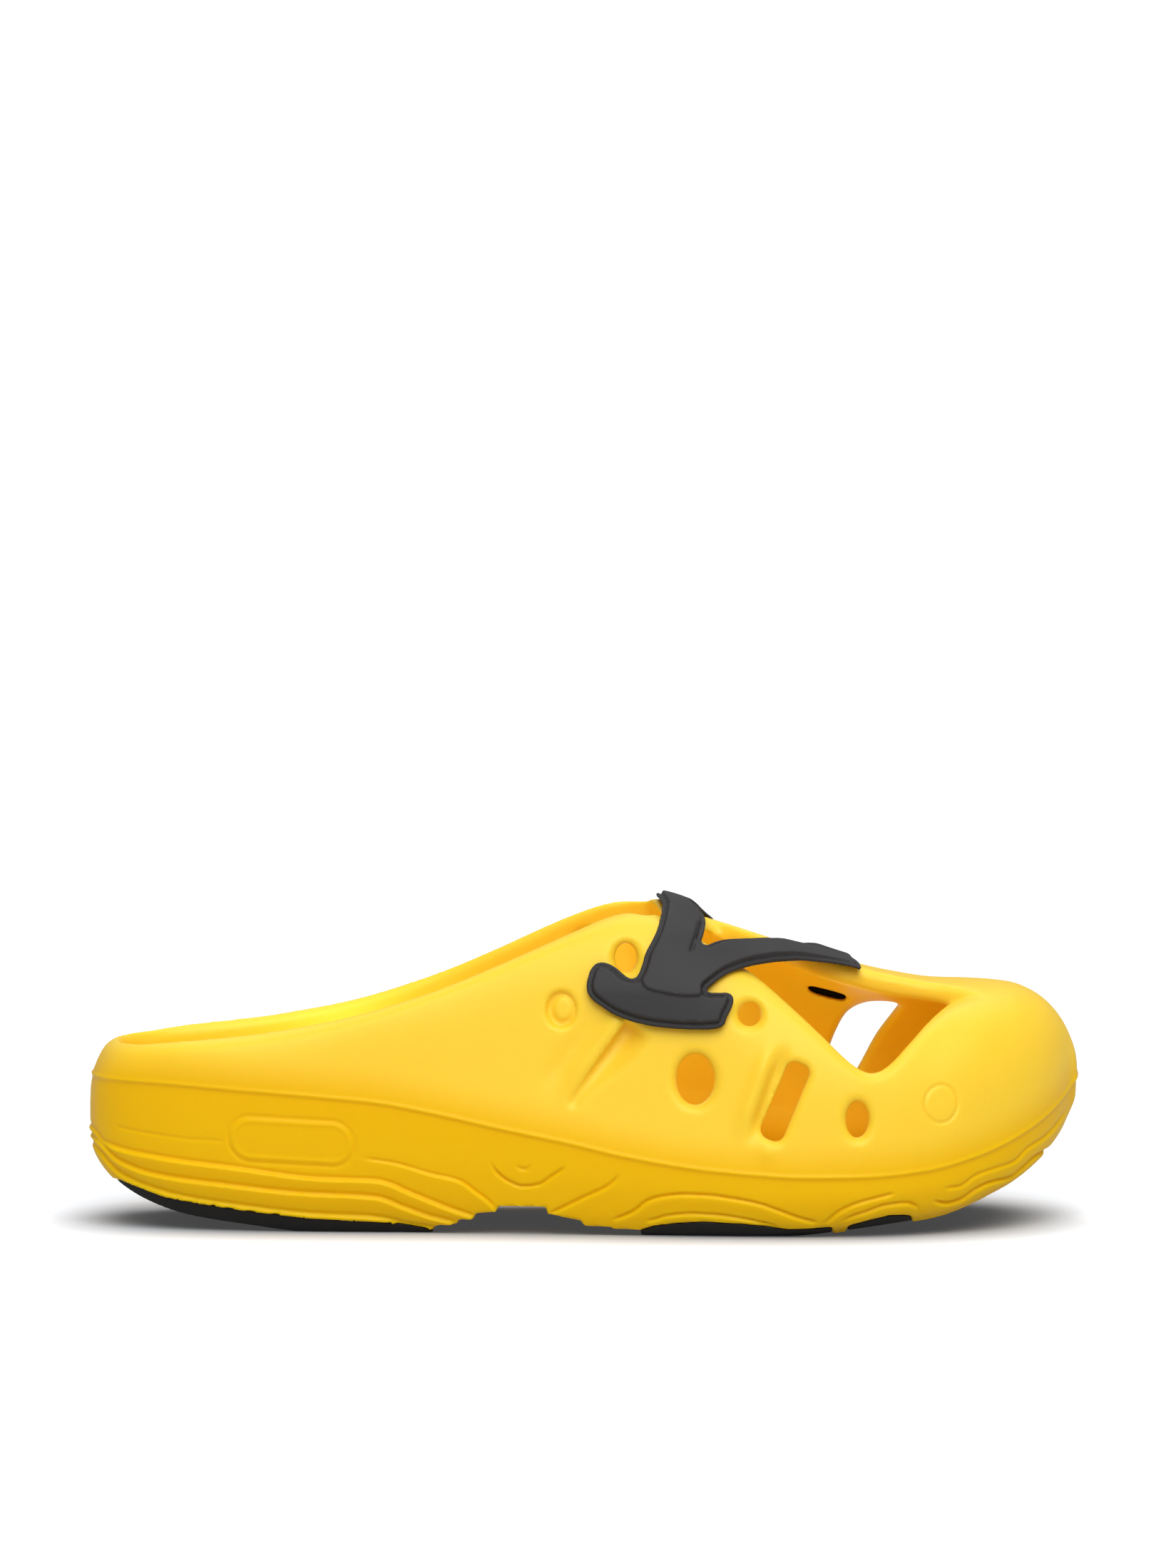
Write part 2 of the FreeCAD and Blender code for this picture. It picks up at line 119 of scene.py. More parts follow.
# The rim in side view: along the collar, over the instep, down to the toe window and up its far rim.
RIM = [
    (-12, 56.6), (2, 56.4), (16, 56.8), (37.5, 58.3), (59, 60.8), (81, 65), (102.5, 71.5), (124, 79.8),
    (146, 89.3), (157, 94), (164, 96), (170, 95.4), (178, 91.4), (186, 86.4), (202, 76.2), (210, 69.6),
    (220, 60.6), (228, 53), (231.4, 50.4), (234.6, 48.9), (237.6, 49), (241, 50.9), (247, 56.6),
    (252.4, 61.8), (256.6, 65), (260.6, 67.2), (265, 68.9), (270, 70.4), (276, 71.6), (288, 78),
]
RIM_INNER = RIM[:6] + [
    (102.5, 71.9), (124, 80.8), (146, 91.2), (157, 95.4), (164, 96.8), (170, 97.6), (176, 97.4), (184, 92.6),
    (190, 86.4),
] + RIM[14:]
SLIT_PLAN = [
    (152, 34), (160, 29), (166, 25), (180, 20), (190, 15.5), (200, 8), (210, -1), (217, -6.2), (224, -8.4),
    (240, -8.8), (252, -9.6), (260, -11.8), (266, -14.6), (272, -18), (282, -24),
]
INNER_WINDOW = [
    (236.8, 63.3), (244.8, 63.4), (246.4, 62.6), (245.2, 60.4), (240.2, 53), (234.5, 42), (230, 34.5),
    (225.5, 33), (223.6, 37), (224.7, 45), (227.5, 53.6), (231.2, 60.2),
]
INNER_VENT = [(218.5, 68.4), (224, 67.6), (230.5, 65.2), (230, 63.9), (225, 64.6), (219.5, 66.6)]
OUTER_HOLES = [
    (162.5, 82.3, 3.3, 4.3), (199.4, 66, 3.3, 3.3), (183.2, 46.9, 5.6, 7.4), (231.4, 35.2, 3.3, 5.3),
]
INNER_HOLES = [(150, 82, 3.3, 4.4), (170, 54, 5.6, 7.2)]
SLOT_CENTRE, SLOT_LEAN, SLOT_HALF = (209.9, 40.5), 22.8, (3.6, 12.2)
PEG_PLACES = [(163.5, 71.2), (186, 66.8)]
PEG_HOLE = 3.9             # radius of a peg's hole
INNER_SIDE_SHIFT = 8.0

# Lines of the sole in side view, as distance from the heel and height.
PARTING = [
    (-1, 45), (1, 45), (20, 44.7), (46, 43), (72, 41), (87, 39.6), (103, 36.8), (124, 32.2), (145, 28),
    (163, 24), (190, 20), (218, 18.3), (235, 18.5), (251, 19.8), (268, 23.7), (284, 30.5), (295.5, 38.6),
    (301, 44.8),
]
BAND_TOP = [
    (-1, 30), (0.6, 29.4), (5, 25.5), (22, 22.2), (45, 19.6), (70, 16.6), (88, 16), (92, 15), (97, 12.8),
    (104, 9.9), (111, 7.1), (118, 4.8),
]
BAND_MIDDLE = [
    (-1, 27.6), (1, 26.8), (4, 25), (10, 20.4), (20, 17.1), (43, 14.3), (64, 12.2), (85, 11.2), (88, 10.9),
    (96, 8), (104, 5.1), (112, 3.2),
]
BAND_LOW = [
    (-1, 25.4), (1, 24.6), (3, 22.9), (10, 16.6), (20, 12.6), (30, 10.2), (45, 8.1), (70, 5.5), (85, 4.9),
    (90, 4.3), (97, 2.6), (106, 1.3),
]
ARCH_CREASE = [
    (76, 24.4), (84, 22.8), (93, 21.5), (104, 18.4), (112.5, 16.4), (118, 12.7), (122, 9.5), (124.4, 6.4),
]
# Moulded waves on the sole's side: a line, how deep its groove is, and how far the foam drops away below it.
WAVES = [
    ([(8, 31), (11.3, 30.3), (21.4, 29), (32.7, 27.9), (42.8, 27.6)], -0.1, 0),
    (ARCH_CREASE[1:], -0.18, 0),
    ([(121.4, 22.4), (124, 18.8), (127, 16.4), (131.7, 14.7), (136.3, 15.3), (140.4, 18), (145, 21)],
     -0.34, 0),
    ([(128.8, 21.6), (130.6, 20.3), (132.3, 19.9), (134.6, 21.6)], -0.22, 0),
    ([(138.6, 5.8), (143, 8.1), (150, 11.7), (157, 15.3), (161, 19)], -0.3, 0.35),
    ([(158, 4.6), (160.6, 5.6), (164.7, 7.6), (169, 11), (173.5, 12.4), (180, 13.1), (187, 12.9), (194, 12),
      (202.5, 10.3), (208, 8.3), (215, 5.7), (220, 4.4)], -0.34, 0.45),
    ([(168, 4.4), (170.5, 5), (175, 6.4), (182, 7.1), (188, 6.9), (196.6, 5.8), (208, 3.1)], -0.3, 0.35),
    ([(221, 3.6), (223, 5.3), (226, 7.9), (231, 10.3), (238, 12.2), (243, 13.4)], -0.3, 0.4),
    ([(226.6, 4.6), (228.6, 5.8), (234.4, 7.8), (240, 9.7), (246, 10.2), (249.5, 8.8), (250.8, 6.2)],
     -0.3, 0.4),
    ([(254, 10.6), (256, 9.9), (258.6, 9.3), (262, 9.9), (268, 13.4), (272, 14.9), (274.6, 15.3), (278, 15.6),
      (282, 18.1), (287, 21.6), (291.5, 22.9), (294.6, 26), (297, 29.8), (300.5, 36)], -0.4, 0.55),
    ([(257, 14.2), (262, 14.4), (268, 17.8), (274, 19.4), (279, 20.6), (284, 24.6), (289, 27), (293, 30),
      (297, 34.4)], -0.22, 0.2),
]
HEEL_PAD = [
    (3, 14.4), (11, 14.6), (15, 13.4), (24.5, 10.2), (48, 6.8), (70, 4.4), (85, 3.7), (95, 3), (102, 1.8),
    (105, 0.8), (106, -6), (3, -6),
]
BALL_PAD = [
    (167, -6), (167, 1.8), (171, 3.3), (178, 4.3), (185, 4.8), (196, 4.3), (204, 3.6), (211, 2.6),
    (217, 2.7), (223, 3.2), (224, 3), (224.4, -6),
]
TOE_PAD = [
    (228.6, -6), (228.6, 2.9), (230, 3.8), (236, 5.4), (241, 6.6), (246, 6.5), (249, 5.4), (251, 6.4),
    (256, 8), (264, 11.5), (273, 15.5), (281, 20), (286, 24), (292, 24), (292, -6),
]
TOE_PAD_PLAN = [
    (226, -70), (247.2, -70), (248.2, -38), (256, -32.6), (266, -26), (274, -17), (281, -7), (285, 4),
    (286, 13), (284, 22), (277, 32), (268, 39), (258, 44), (250, 46), (249, 70), (226, 70),
]

ARCH = [
    (104.6, -5), (105, 1.7), (106, 2.4), (112, 2.9), (112.6, 4.3), (117, 4.7), (117.8, 6.3), (123.6, 6.8),
    (124.6, 8.6), (138.5, 8.6), (139.2, 6.4), (149, 4.5), (150, 2.9), (158, 2.6), (158.6, 2.1), (168, 1.8),
    (169, -5),
]


def smooth(xs, ys, at):
    """A smooth curve through points that doesn't overshoot them (monotone cubic)."""
    xs, ys, at = (np.asarray(v, float) for v in (xs, ys, at))
    step = np.diff(xs)
    slope = np.diff(ys) / step
    tangent = np.empty_like(ys)
    tangent[0], tangent[-1] = slope[0], slope[-1]
    before, after = slope[:-1], slope[1:]
    w1 = 2 * step[1:] + step[:-1]
    w2 = step[1:] + 2 * step[:-1]
    same = before * after > 0
    safe_before = np.where(same, before, 1.0)
    safe_after = np.where(same, after, 1.0)
    tangent[1:-1] = np.where(same, (w1 + w2) / (w1 / safe_before + w2 / safe_after), 0.0)
    i = np.clip(np.searchsorted(xs, at) - 1, 0, len(xs) - 2)
    t = np.clip((at - xs[i]) / step[i], 0, 1)
    h = step[i]
    a = (1 + 2 * t) * (1 - t) ** 2
    b = t * (1 - t) ** 2 * h
    c = t * t * (3 - 2 * t)
    d = t * t * (t - 1) * h
    return a * ys[i] + b * tangent[i] + c * ys[i + 1] + d * tangent[i + 1]


def between(p, q, start, end, t):
    """The point at t on the line that is at p at the start and at q at the end."""
    return (end - t) / (end - start) * p + (t - start) / (end - start) * q


def rounded_path(points, closed=False, per=10):
    """A polyline that goes smoothly through the points (centripetal Catmull-Rom)."""
    pts = [np.array(p, float) for p in points]
    if closed:
        pts = [pts[-1]] + pts + [pts[0], pts[1]]
    else:
        pts = [2 * pts[0] - pts[1]] + pts + [2 * pts[-1] - pts[-2]]
    out = []
    for p0, p1, p2, p3 in zip(pts, pts[1:], pts[2:], pts[3:]):
        t0 = 0.0
        t1 = t0 + max(np.linalg.norm(p1 - p0), 1e-6) ** 0.5
        t2 = t1 + max(np.linalg.norm(p2 - p1), 1e-6) ** 0.5
        t3 = t2 + max(np.linalg.norm(p3 - p2), 1e-6) ** 0.5
        for t in np.linspace(t1, t2, per, endpoint=False):
            a1 = between(p0, p1, t0, t1, t)
            a2 = between(p1, p2, t1, t2, t)
            a3 = between(p2, p3, t2, t3, t)
            out.append(between(between(a1, a2, t0, t2, t), between(a2, a3, t1, t3, t), t1, t2, t))
    if not closed:
        out.append(pts[-2])
    return np.array(out)


def polygon_distance(path, us, vs):
    """Signed distance to a closed polygon on a grid of us by vs: negative inside."""
    path = np.array(path, float)
    u, v = np.meshgrid(us, vs, indexing="ij")
    best = np.full(u.shape, 1e9)
    inside = np.zeros(u.shape, bool)
    for (x1, y1), (x2, y2) in zip(path, np.roll(path, -1, axis=0)):
        ex, ey = x2 - x1, y2 - y1
        long = ex * ex + ey * ey
        if long < 1e-12:
            continue
        t = np.clip(((u - x1) * ex + (v - y1) * ey) / long, 0, 1)
        best = np.minimum(best, (u - x1 - t * ex) ** 2 + (v - y1 - t * ey) ** 2)
        if y1 != y2:
            cross = ((y1 > v) != (y2 > v)) & (u < x1 + (v - y1) / (y2 - y1) * ex)
            inside ^= cross
    return np.where(inside, -1, 1) * np.sqrt(best)


def oval_distance(u, v, a, b):
    """Nearly the signed distance to an ellipse about the origin."""
    near = np.sqrt((u / a) ** 2 + (v / b) ** 2) + 1e-9
    slope = np.sqrt((u / a ** 2) ** 2 + (v / b ** 2) ** 2) + 1e-9
    return near * (near - 1) / slope


def box_distance(u, v, a, b, corner):
    """Signed distance to a rectangle with rounded corners."""
    qu, qv = np.abs(u) - a + corner, np.abs(v) - b + corner
    return np.hypot(np.maximum(qu, 0), np.maximum(qv, 0)) + np.minimum(np.maximum(qu, qv), 0) - corner


def round_both(a, b, radius):
    """What is inside both, with the edge where they meet rounded off."""
    sharp = np.minimum(np.maximum(a, b), -radius)
    return sharp + np.hypot(np.maximum(a + radius, 0), np.maximum(b + radius, 0))


def ease(low, high, value):
    """From 0 at low to 1 at high, starting and ending gently; low can be the larger."""
    t = np.clip((value - low) / (high - low), 0, 1)
    return t * t * (3 - 2 * t)


def bell(value, width):
    """1 at zero, falling away on both sides."""
    return np.exp(-(value / width) ** 2)


def line_height(line, x):
    """The height of a line in side view, given as points, at places along the foot."""
    xs, heights = np.array(line, float).T
    return smooth(xs, heights, x)


def new_object(name, data):
    """An object with the data, put into the scene."""
    thing = bpy.data.objects.new(name, data)
    bpy.context.collection.objects.link(thing)
    return thing


# ------ surfaces as meshes of sections

def stations(table, count):
    """The table's columns at many places that are even along its outline, ends included."""
    table = np.array(table)
    move = np.diff(table[:, [0, 1, 3, 4, 5]], axis=0)
    run = np.concatenate([[0], np.cumsum(np.sqrt((move ** 2).sum(1)) + 0.3)])
    at = np.linspace(0, run[-1], count)
    return np.stack([smooth(run, table[:, k], at) for k in range(table.shape[1])], axis=1)


def crown_points(width, level, crown, shift, lean, upper, side):
    """One side of a section's arch, from its widest level up to the crown: y outwards, and z."""
    angle = np.linspace(0, math.pi / 2, 44)
    rise = np.sin(angle) ** (2 / upper)
    reach = (1 - lean * rise) * np.cos(angle) ** (2 / side)
    return shift + (width - shift) * reach, level + (crown - level) * rise


def whole_loop(row, low_inner, low_outer, low_z):
    """A section's points all round: down the inner side from the crown, under, and up the outer side."""
    x, bottom, level, outer, inner, crown, shift, lean, upper, side = row
    inner_y, inner_z = crown_points(inner, level, crown, shift, lean, upper, side)
    outer_y, outer_z = crown_points(outer, level, crown, -shift, lean, upper, side)
    under = np.linspace(low_inner[-1], low_outer[-1], 30)[1:-1]
    y = np.concatenate([inner_y[::-1], low_inner, under, low_outer[::-1], -outer_y[:-1]])
    z = np.concatenate([inner_z[::-1], low_z, np.full(len(under), bottom), low_z[::-1], outer_z[:-1]])
    return np.stack([np.full(len(y), x), y, z], axis=1)


def outer_loop(row):
    """A section of the outer form, drawn in a little towards its bottom."""
    bottom, level, outer, inner = row[1:5]
    centre = (inner - outer) / 2
    fall = np.linspace(0, 1, 24)[1:]
    share = smooth([0, 0.3, 0.62, 0.88, 1.0], [1.0, 0.995, 0.965, 0.905, 0.83], fall)
    low_z = level - (level - bottom) * fall
    return whole_loop(row, centre + (inner - centre) * share, centre + (-outer - centre) * share, low_z)


def hollow_loop(row):
    """A section of the foot space, with upright walls down to its floor."""
    floor, level, outer, inner = row[1:5]
    low_z = np.linspace(level, floor, 14)[1:]
    return whole_loop(row, np.full(len(low_z), inner), np.full(len(low_z), -outer), low_z)


def skin(loops):
    """Points and quads of a closed tube through the loops, with a fan at each end."""
    count, around = len(loops), len(loops[0])
    points = np.concatenate(list(loops) + [loops[0].mean(0)[None], loops[-1].mean(0)[None]])
    i, j = np.meshgrid(np.arange(count - 1), np.arange(around), indexing="ij")
    k = (j + 1) % around
    quads = np.stack([i * around + j, i * around + k, (i + 1) * around + k, (i + 1) * around + j], axis=-1)
    j = np.arange(around)
    k = (j + 1) % around
    first, last = count * around, count * around + 1
    start = np.stack([np.full(around, first), k, j], axis=-1)
    base = (count - 1) * around
    end = np.stack([np.full(around, last), base + j, base + k], axis=-1)
    return points, quads.reshape(-1, 4), np.concatenate([start, end])


class Field:
    """A distance field on a box of voxels, in millimetres."""

    def __init__(self, low, high, voxel):
        self.voxel = voxel
        self.first = np.floor(np.array(low) / voxel).astype(int)
        self.count = np.ceil(np.array(high) / voxel).astype(int) - self.first + 1
        self.axes = [(self.first[k] + np.arange(self.count[k])) * voxel for k in range(3)]
        self.x = self.axes[0][:, None, None]
        self.y = self.axes[1][None, :, None]
        self.z = self.axes[2][None, None, :]

    def of(self, points, quads, triangles, band=BAND):
        grid = openvdb.FloatGrid.createLevelSetFromPolygons(
            points.astype(np.float64), triangles=triangles.astype(np.uint32), quads=quads.astype(np.uint32),
            transform=openvdb.createLinearTransform(voxelSize=self.voxel), halfWidth=band / self.voxel)
        values = np.zeros(tuple(self.count), np.float32)
        grid.copyToArray(values, ijk=tuple(int(v) for v in self.first))
        return values

    def part(self, low, high):
        """Slices of the voxels between two corners, for working on a small box."""
        cut = []
        for k in range(3):
            a = int(np.clip(np.searchsorted(self.axes[k], low[k]), 0, self.count[k]))
            b = int(np.clip(np.searchsorted(self.axes[k], high[k]), 0, self.count[k]))
            cut.append(slice(a, b))
        return tuple(cut)

    def here(self, cut):
        return self.x[cut[0]], self.y[:, cut[1]], self.z[:, :, cut[2]]

    def surface(self, values):
        """Points and quads of the zero surface, wound so that normals point out."""
        grid = openvdb.FloatGrid(BAND)
        grid.transform = openvdb.createLinearTransform(voxelSize=self.voxel)
        grid.copyFromArray(np.ascontiguousarray(values, np.float32), ijk=tuple(int(v) for v in self.first))
        points, quads = grid.convertToQuads(0.0)
        points = np.array(points, np.float64)
        quads = np.array(quads, np.int64)
        a, b, c, d = (points[quads[:, k]] for k in range(4))
        area = np.cross(c - a, d - b)
        middle = (a + b + c + d) / 4
        if (area * middle).sum() < 0:
            quads = quads[:, ::-1]
        return points, quads

    def at(self, values, points):
        """The field and its slope at any points."""
        place = np.clip(points / self.voxel - self.first, 0, self.count - 1.001)
        i = np.floor(place).astype(int)
        f = place - i
        corner = {(a, b, c): values[i[:, 0] + a, i[:, 1] + b, i[:, 2] + c].astype(float)
                  for a in (0, 1) for b in (0, 1) for c in (0, 1)}
        fx, fy, fz = f.T
        lines = {(b, c): corner[0, b, c] * (1 - fx) + corner[1, b, c] * fx for b in (0, 1) for c in (0, 1)}
        planes = {c: lines[0, c] * (1 - fy) + lines[1, c] * fy for c in (0, 1)}
        value = planes[0] * (1 - fz) + planes[1] * fz
        gz = planes[1] - planes[0]
        gy = (lines[1, 0] - lines[0, 0]) * (1 - fz) + (lines[1, 1] - lines[0, 1]) * fz
        step = {(b, c): corner[1, b, c] - corner[0, b, c] for b in (0, 1) for c in (0, 1)}
        gx = ((step[0, 0] * (1 - fy) + step[1, 0] * fy) * (1 - fz)
              + (step[0, 1] * (1 - fy) + step[1, 1] * fy) * fz)
        return value, np.stack([gx, gy, gz], axis=1) / self.voxel

    def settle(self, values, points, rounds=2):
        """Points moved along the slope onto the zero surface."""
        for _ in range(rounds):
            value, slope = self.at(values, points)
            size = np.maximum((slope ** 2).sum(1), 0.2)
            move = -slope * (value / size)[:, None]
            reach = np.sqrt((move ** 2).sum(1))
            points = points + move * np.minimum(1, self.voxel / np.maximum(reach, 1e-9))[:, None]
        return points


def edge_codes(quads, count):
    """A number for each side of each quad, the same whichever way the side runs."""
    ends = np.sort(np.stack([quads, np.roll(quads, -1, axis=1)], axis=-1), axis=-1)
    return ends[..., 0] * count + ends[..., 1]


def split_faces(points, quads, chosen):
    """Chosen quads cut in four, and their neighbours given the new points on shared edges."""
    picked, rest, count = quads[chosen], quads[~chosen], len(points)
    code = edge_codes(picked, count)
    codes, where = np.unique(code.ravel(), return_inverse=True)
    middles = (points[codes // count] + points[codes % count]) / 2
    mids = where.reshape(code.shape) + count
    centre = count + len(codes) + np.arange(len(picked))
    small = [np.stack([picked[:, k], mids[:, k], centre, mids[:, k - 1]], axis=1) for k in range(4)]
    code = edge_codes(rest, count)
    place = np.clip(np.searchsorted(codes, code), 0, len(codes) - 1)
    shared = codes[place] == code
    touched = shared.any(1)
    many = []
    for face, marks, mid in zip(rest[touched], shared[touched], place[touched]):
        corners = []
        for k in range(4):
            corners.append(int(face[k]))
            if marks[k]:
                corners.append(count + int(mid[k]))
        many.append(corners)
    points = np.concatenate([points, middles, points[picked].mean(1)])
    return points, np.concatenate(small + [rest[~touched]]), many


def make_mesh(name, points, quads, many=()):
    """A mesh from points in millimetres, quads, and a few faces with more corners."""
    mesh = bpy.data.meshes.new(name)
    metres = points * MM
    metres[:, 0] -= HALF * MM
    loops = np.concatenate([np.asarray(quads).ravel()] + [np.array(f) for f in many]).astype(np.int32)
    sizes = np.concatenate([np.full(len(quads), len(quads[0])), [len(f) for f in many]]).astype(np.int32)
    starts = np.concatenate([[0], np.cumsum(sizes)[:-1]]).astype(np.int32)
    mesh.vertices.add(len(metres))
    mesh.vertices.foreach_set("co", metres.astype(np.float32).ravel())
    mesh.loops.add(len(loops))
    mesh.loops.foreach_set("vertex_index", loops)
    mesh.polygons.add(len(sizes))
    mesh.polygons.foreach_set("loop_start", starts)
    mesh.update(calc_edges=True)
    mesh.validate()
    mesh.shade_smooth()
    return new_object(name, mesh)


OUTER_ROWS = stations(OUTER, 420)
OUTER_SKIN = skin([outer_loop(row) for row in OUTER_ROWS])
HOLLOW_SKIN = skin([hollow_loop(row) for row in stations(HOLLOW, 340)])


def section_at(x):
    """The outer form's measures at a place along the foot."""
    table = np.array(OUTER)
    return [smooth(table[:, 0], table[:, k], x) for k in range(1, table.shape[1])]


def wall_y(x, z, sign):
    """Where the outer form's side wall is, at a place in side view."""
    bottom, level, outer, inner, crown, shift, lean, upper, side = section_at(x)
    width = inner if sign > 0 else outer
    rise = np.clip((z - level) / (crown - level), 0, 1)
    reach = (1 - lean * rise) * (1 - rise ** upper) ** (1 / side)
    return sign * (sign * shift + (width - sign * shift) * reach)


def hinge_of(sign):
    """A tab's hinge point and its direction, in millimetres from the heel."""
    name = "inner_tab_pull" if sign > 0 else "outer_tab_pull"
    joint = next(j for j in frame["joints"] if j["name"] == name)
    place = np.array(joint["pos_m"]) / MM + [HALF, 0, 0]
    return place, np.array(joint["axis"])


def peg_lines(sign):
    """Where each peg leaves its tab, and the way it points."""
    place, direction = hinge_of(sign)
    lines = []
    for x, z in PEG_PLACES:
        x = x + (INNER_SIDE_SHIFT if sign > 0 else 0)
        base = np.array([x, wall_y(x, z, sign) + 0.4 * sign, z])
        arm = base - place
        arm = arm - direction * (arm @ direction)
        inward = np.cross(direction, arm)
        inward = inward / np.linalg.norm(inward)
        if inward[1] * sign > 0:
            inward = -inward
        lines.append((base, inward))
    return lines


def peg_distance(x, y, z, base, inward, start, end, r1, r2):
    """Nearly the signed distance to a cone along a peg's line."""
    dx, dy, dz = x - base[0], y - base[1], z - base[2]
    run = dx * inward[0] + dy * inward[1] + dz * inward[2]
    out = np.sqrt(np.maximum(dx * dx + dy * dy + dz * dz - run * run, 0))
    share = np.clip((run - start) / (end - start), 0, 1)
    return round_both(out - (r1 + (r2 - r1) * share), np.maximum(start - run, run - end), 0.6)


PADS = {"heel_tread": (HEEL_PAD, None), "ball_tread": (BALL_PAD, None), "toe_tread": (TOE_PAD, TOE_PAD_PLAN)}


def rim_polygon(rim):
    path = rounded_path(rim)
    return np.concatenate([path, [(288, 140), (-12, 140)]])


def slit_polygon():
    path = rounded_path(SLIT_PLAN)
    return np.concatenate([path, [(290, -5), (290, -90), (-20, -90), (-20, 90), (152, 90)]])


def line_frame(x, z, foot, head):
    """Distance to the right of a slanting line in side view, and the share of the way up it."""
    foot, head = np.array(foot, float), np.array(head, float)
    run = head - foot
    size = np.hypot(*run)
    run = run / size
    across = (x - foot[0]) * run[1] - (z - foot[1]) * run[0]
    return across, ((x - foot[0]) * run[0] + (z - foot[1]) * run[1]) / size


def dents(x, z):
    """How far the outer wall is pressed in, in side view: the scoop, the round recess and soft folds."""
    across, share = line_frame(x, z, (144.6, 39.4), (161.6, 62.6))
    deep = 0.9 + 3.0 * ease(0.1, 0.95, share)
    wide = 4.2 + 5.4 * ease(0.0, 0.9, share)
    ends = ease(-0.02, 0.08, share) * ease(1.12, 0.99, share)
    scoop = deep * ends * ease(-0.4, 0.5, across) * ease(wide, 0.3 * wide, across)
    swell = -1.1 * ends * bell(across + 2.6, 2.6) * ease(0.0, 0.5, share)
    beside = 0.8 * bell(across + 8.0, 3.4) * ease(-0.15, 0.3, share) * ease(1.1, 0.5, share)
    oval = oval_distance(x - 143.2, z - 67.3, 4.5, 5.4)
    disc = oval_distance(x - 143.8, z - 67.7, 3.1, 3.8)
    recess = 2.1 * ease(0.7, -0.8, oval) - 1.3 * ease(0.5, -0.9, disc)
    across, share = line_frame(x, z, (200.4, 30.0), (209.2, 55.0))
    crease = 2.6 * bell(across - 0.2, 2.0) * ease(-0.12, 0.25, share) * ease(1.15, 0.7, share)
    ridge = -1.3 * bell(across + 4.2, 2.6) * ease(-0.1, 0.3, share) * ease(1.2, 0.7, share)
    dimple = 0.5 * np.exp(-((x - 204.6) / 3.0) ** 2 - ((z - 25.8) / 2.6) ** 2)
    return scoop + swell + beside + recess + crease + ridge - dimple


def build_shell():
    """The shell's distance field, and the outer form's."""
    field = Field((-4, -58, -3), (304, 58, 104), SHELL_VOXEL)
    outer = field.of(*OUTER_SKIN)
    hollow = field.of(*HOLLOW_SKIN)
    xs, ys, zs = field.axes
    pressed = dents(xs[:, None], zs[None, :])[:, None, :] * ease(-6, -16, ys)[None, :, None]
    outer = outer + pressed.astype(np.float32)
    shell = np.maximum(outer, -hollow)

    side = polygon_distance(rim_polygon(RIM), xs, zs)[:, None, :]
    inner_side = polygon_distance(rim_polygon(RIM_INNER), xs, zs)[:, None, :]
    side = side + (inner_side - side) * ease(-12, 14, ys)[None, :, None]
    plan = polygon_distance(slit_polygon(), xs, ys)[:, :, None]
    corner = 3.0 - 2.4 * ease(238, 256, xs)[:, None, None]
    opening = round_both(side, plan, corner)
    thick = 2.7 + 1.5 * ease(130, 30, xs)[:, None, None]
    shell = round_both(shell, -opening, thick)

    def cut(low, high, shape, radius):
        """A hole with rounded edges, within a box."""
        part = field.part(low, high)
        shell[part] = round_both(shell[part], -shape(*field.here(part)), radius)

    for outline, per, radius in ((INNER_WINDOW, 6, 2.2), (INNER_VENT, 5, 0.9)):
        path = rounded_path(outline, closed=True, per=per)

        def window(x, y, z):
            return np.maximum(polygon_distance(path, x.ravel(), z.ravel())[:, None, :], 14 - y)
        cut((210, 12, 24), (256, 60, 76), window, radius)
    for (y1, y2), holes in (((-60, 0), OUTER_HOLES), ((0, 60), INNER_HOLES)):
        for hx, hz, a, b in holes:
            cut((hx - 16, y1, hz - 18), (hx + 16, y2, hz + 18),
                lambda x, y, z: oval_distance(x - hx, z - hz, a, b), 2.9)
    sx, sz = SLOT_CENTRE
    turn = math.radians(SLOT_LEAN)

    def slot(x, y, z):
        u = (x - sx) * math.cos(turn) - (z - sz) * math.sin(turn)
        v = (x - sx) * math.sin(turn) + (z - sz) * math.cos(turn)
        return box_distance(u, v, *SLOT_HALF, 2.8)
    cut((190, -60, 22), (232, 0, 62), slot, 1.9)
    for sign in (-1, 1):
        for base, inward in peg_lines(sign):
            cut(base - 22, base + 22,
                lambda x, y, z: peg_distance(x, y, z, base, inward, -4, 13, PEG_HOLE, PEG_HOLE), 0.9)

    shell = np.maximum(shell, -polygon_distance(ARCH, xs, zs)[:, None, :])
    for outline, plan in PADS.values():
        shell = np.maximum(shell, -pad_distance(xs, ys, zs, outline, plan, 0.0))
    return field, np.maximum(shell, -field.z), outer


def pad_distance(xs, ys, zs, outline, plan, grow):
    """Signed distance to a pad's pocket, from its outline in side view and, for the toe, in plan."""
    distance = polygon_distance(outline, xs, zs)[:, None, :] - grow
    if plan:
        path = rounded_path(plan, closed=True, per=4)
        distance = np.maximum(distance, polygon_distance(path, xs, ys)[:, :, None])
    return distance


def tread_grooves(name, x, y):
    """Below zero along the grooves cut up into a pad's underside, seen in plan."""
    if name == "heel_tread":
        wave = np.mod(x + 0.55 * np.abs(y) + 2, 10.0) - 5.0
        lines = np.abs(wave) - 0.95
        spine = np.abs(y + 1.0) - 1.2
        return np.minimum(lines, spine)
    if name == "ball_tread":
        wave = np.mod(x + 3.4 * np.sin(y / 7.5), 9.0) - 4.5
        return np.abs(wave) - 0.9
    wave = np.mod(x - 0.012 * (y - 6) ** 2 + 1.0, 9.5) - 4.75
    cross = np.mod(y + 4, 17.0) - 8.5
    return np.minimum(np.abs(wave) - 0.95, np.abs(cross) - 0.9)


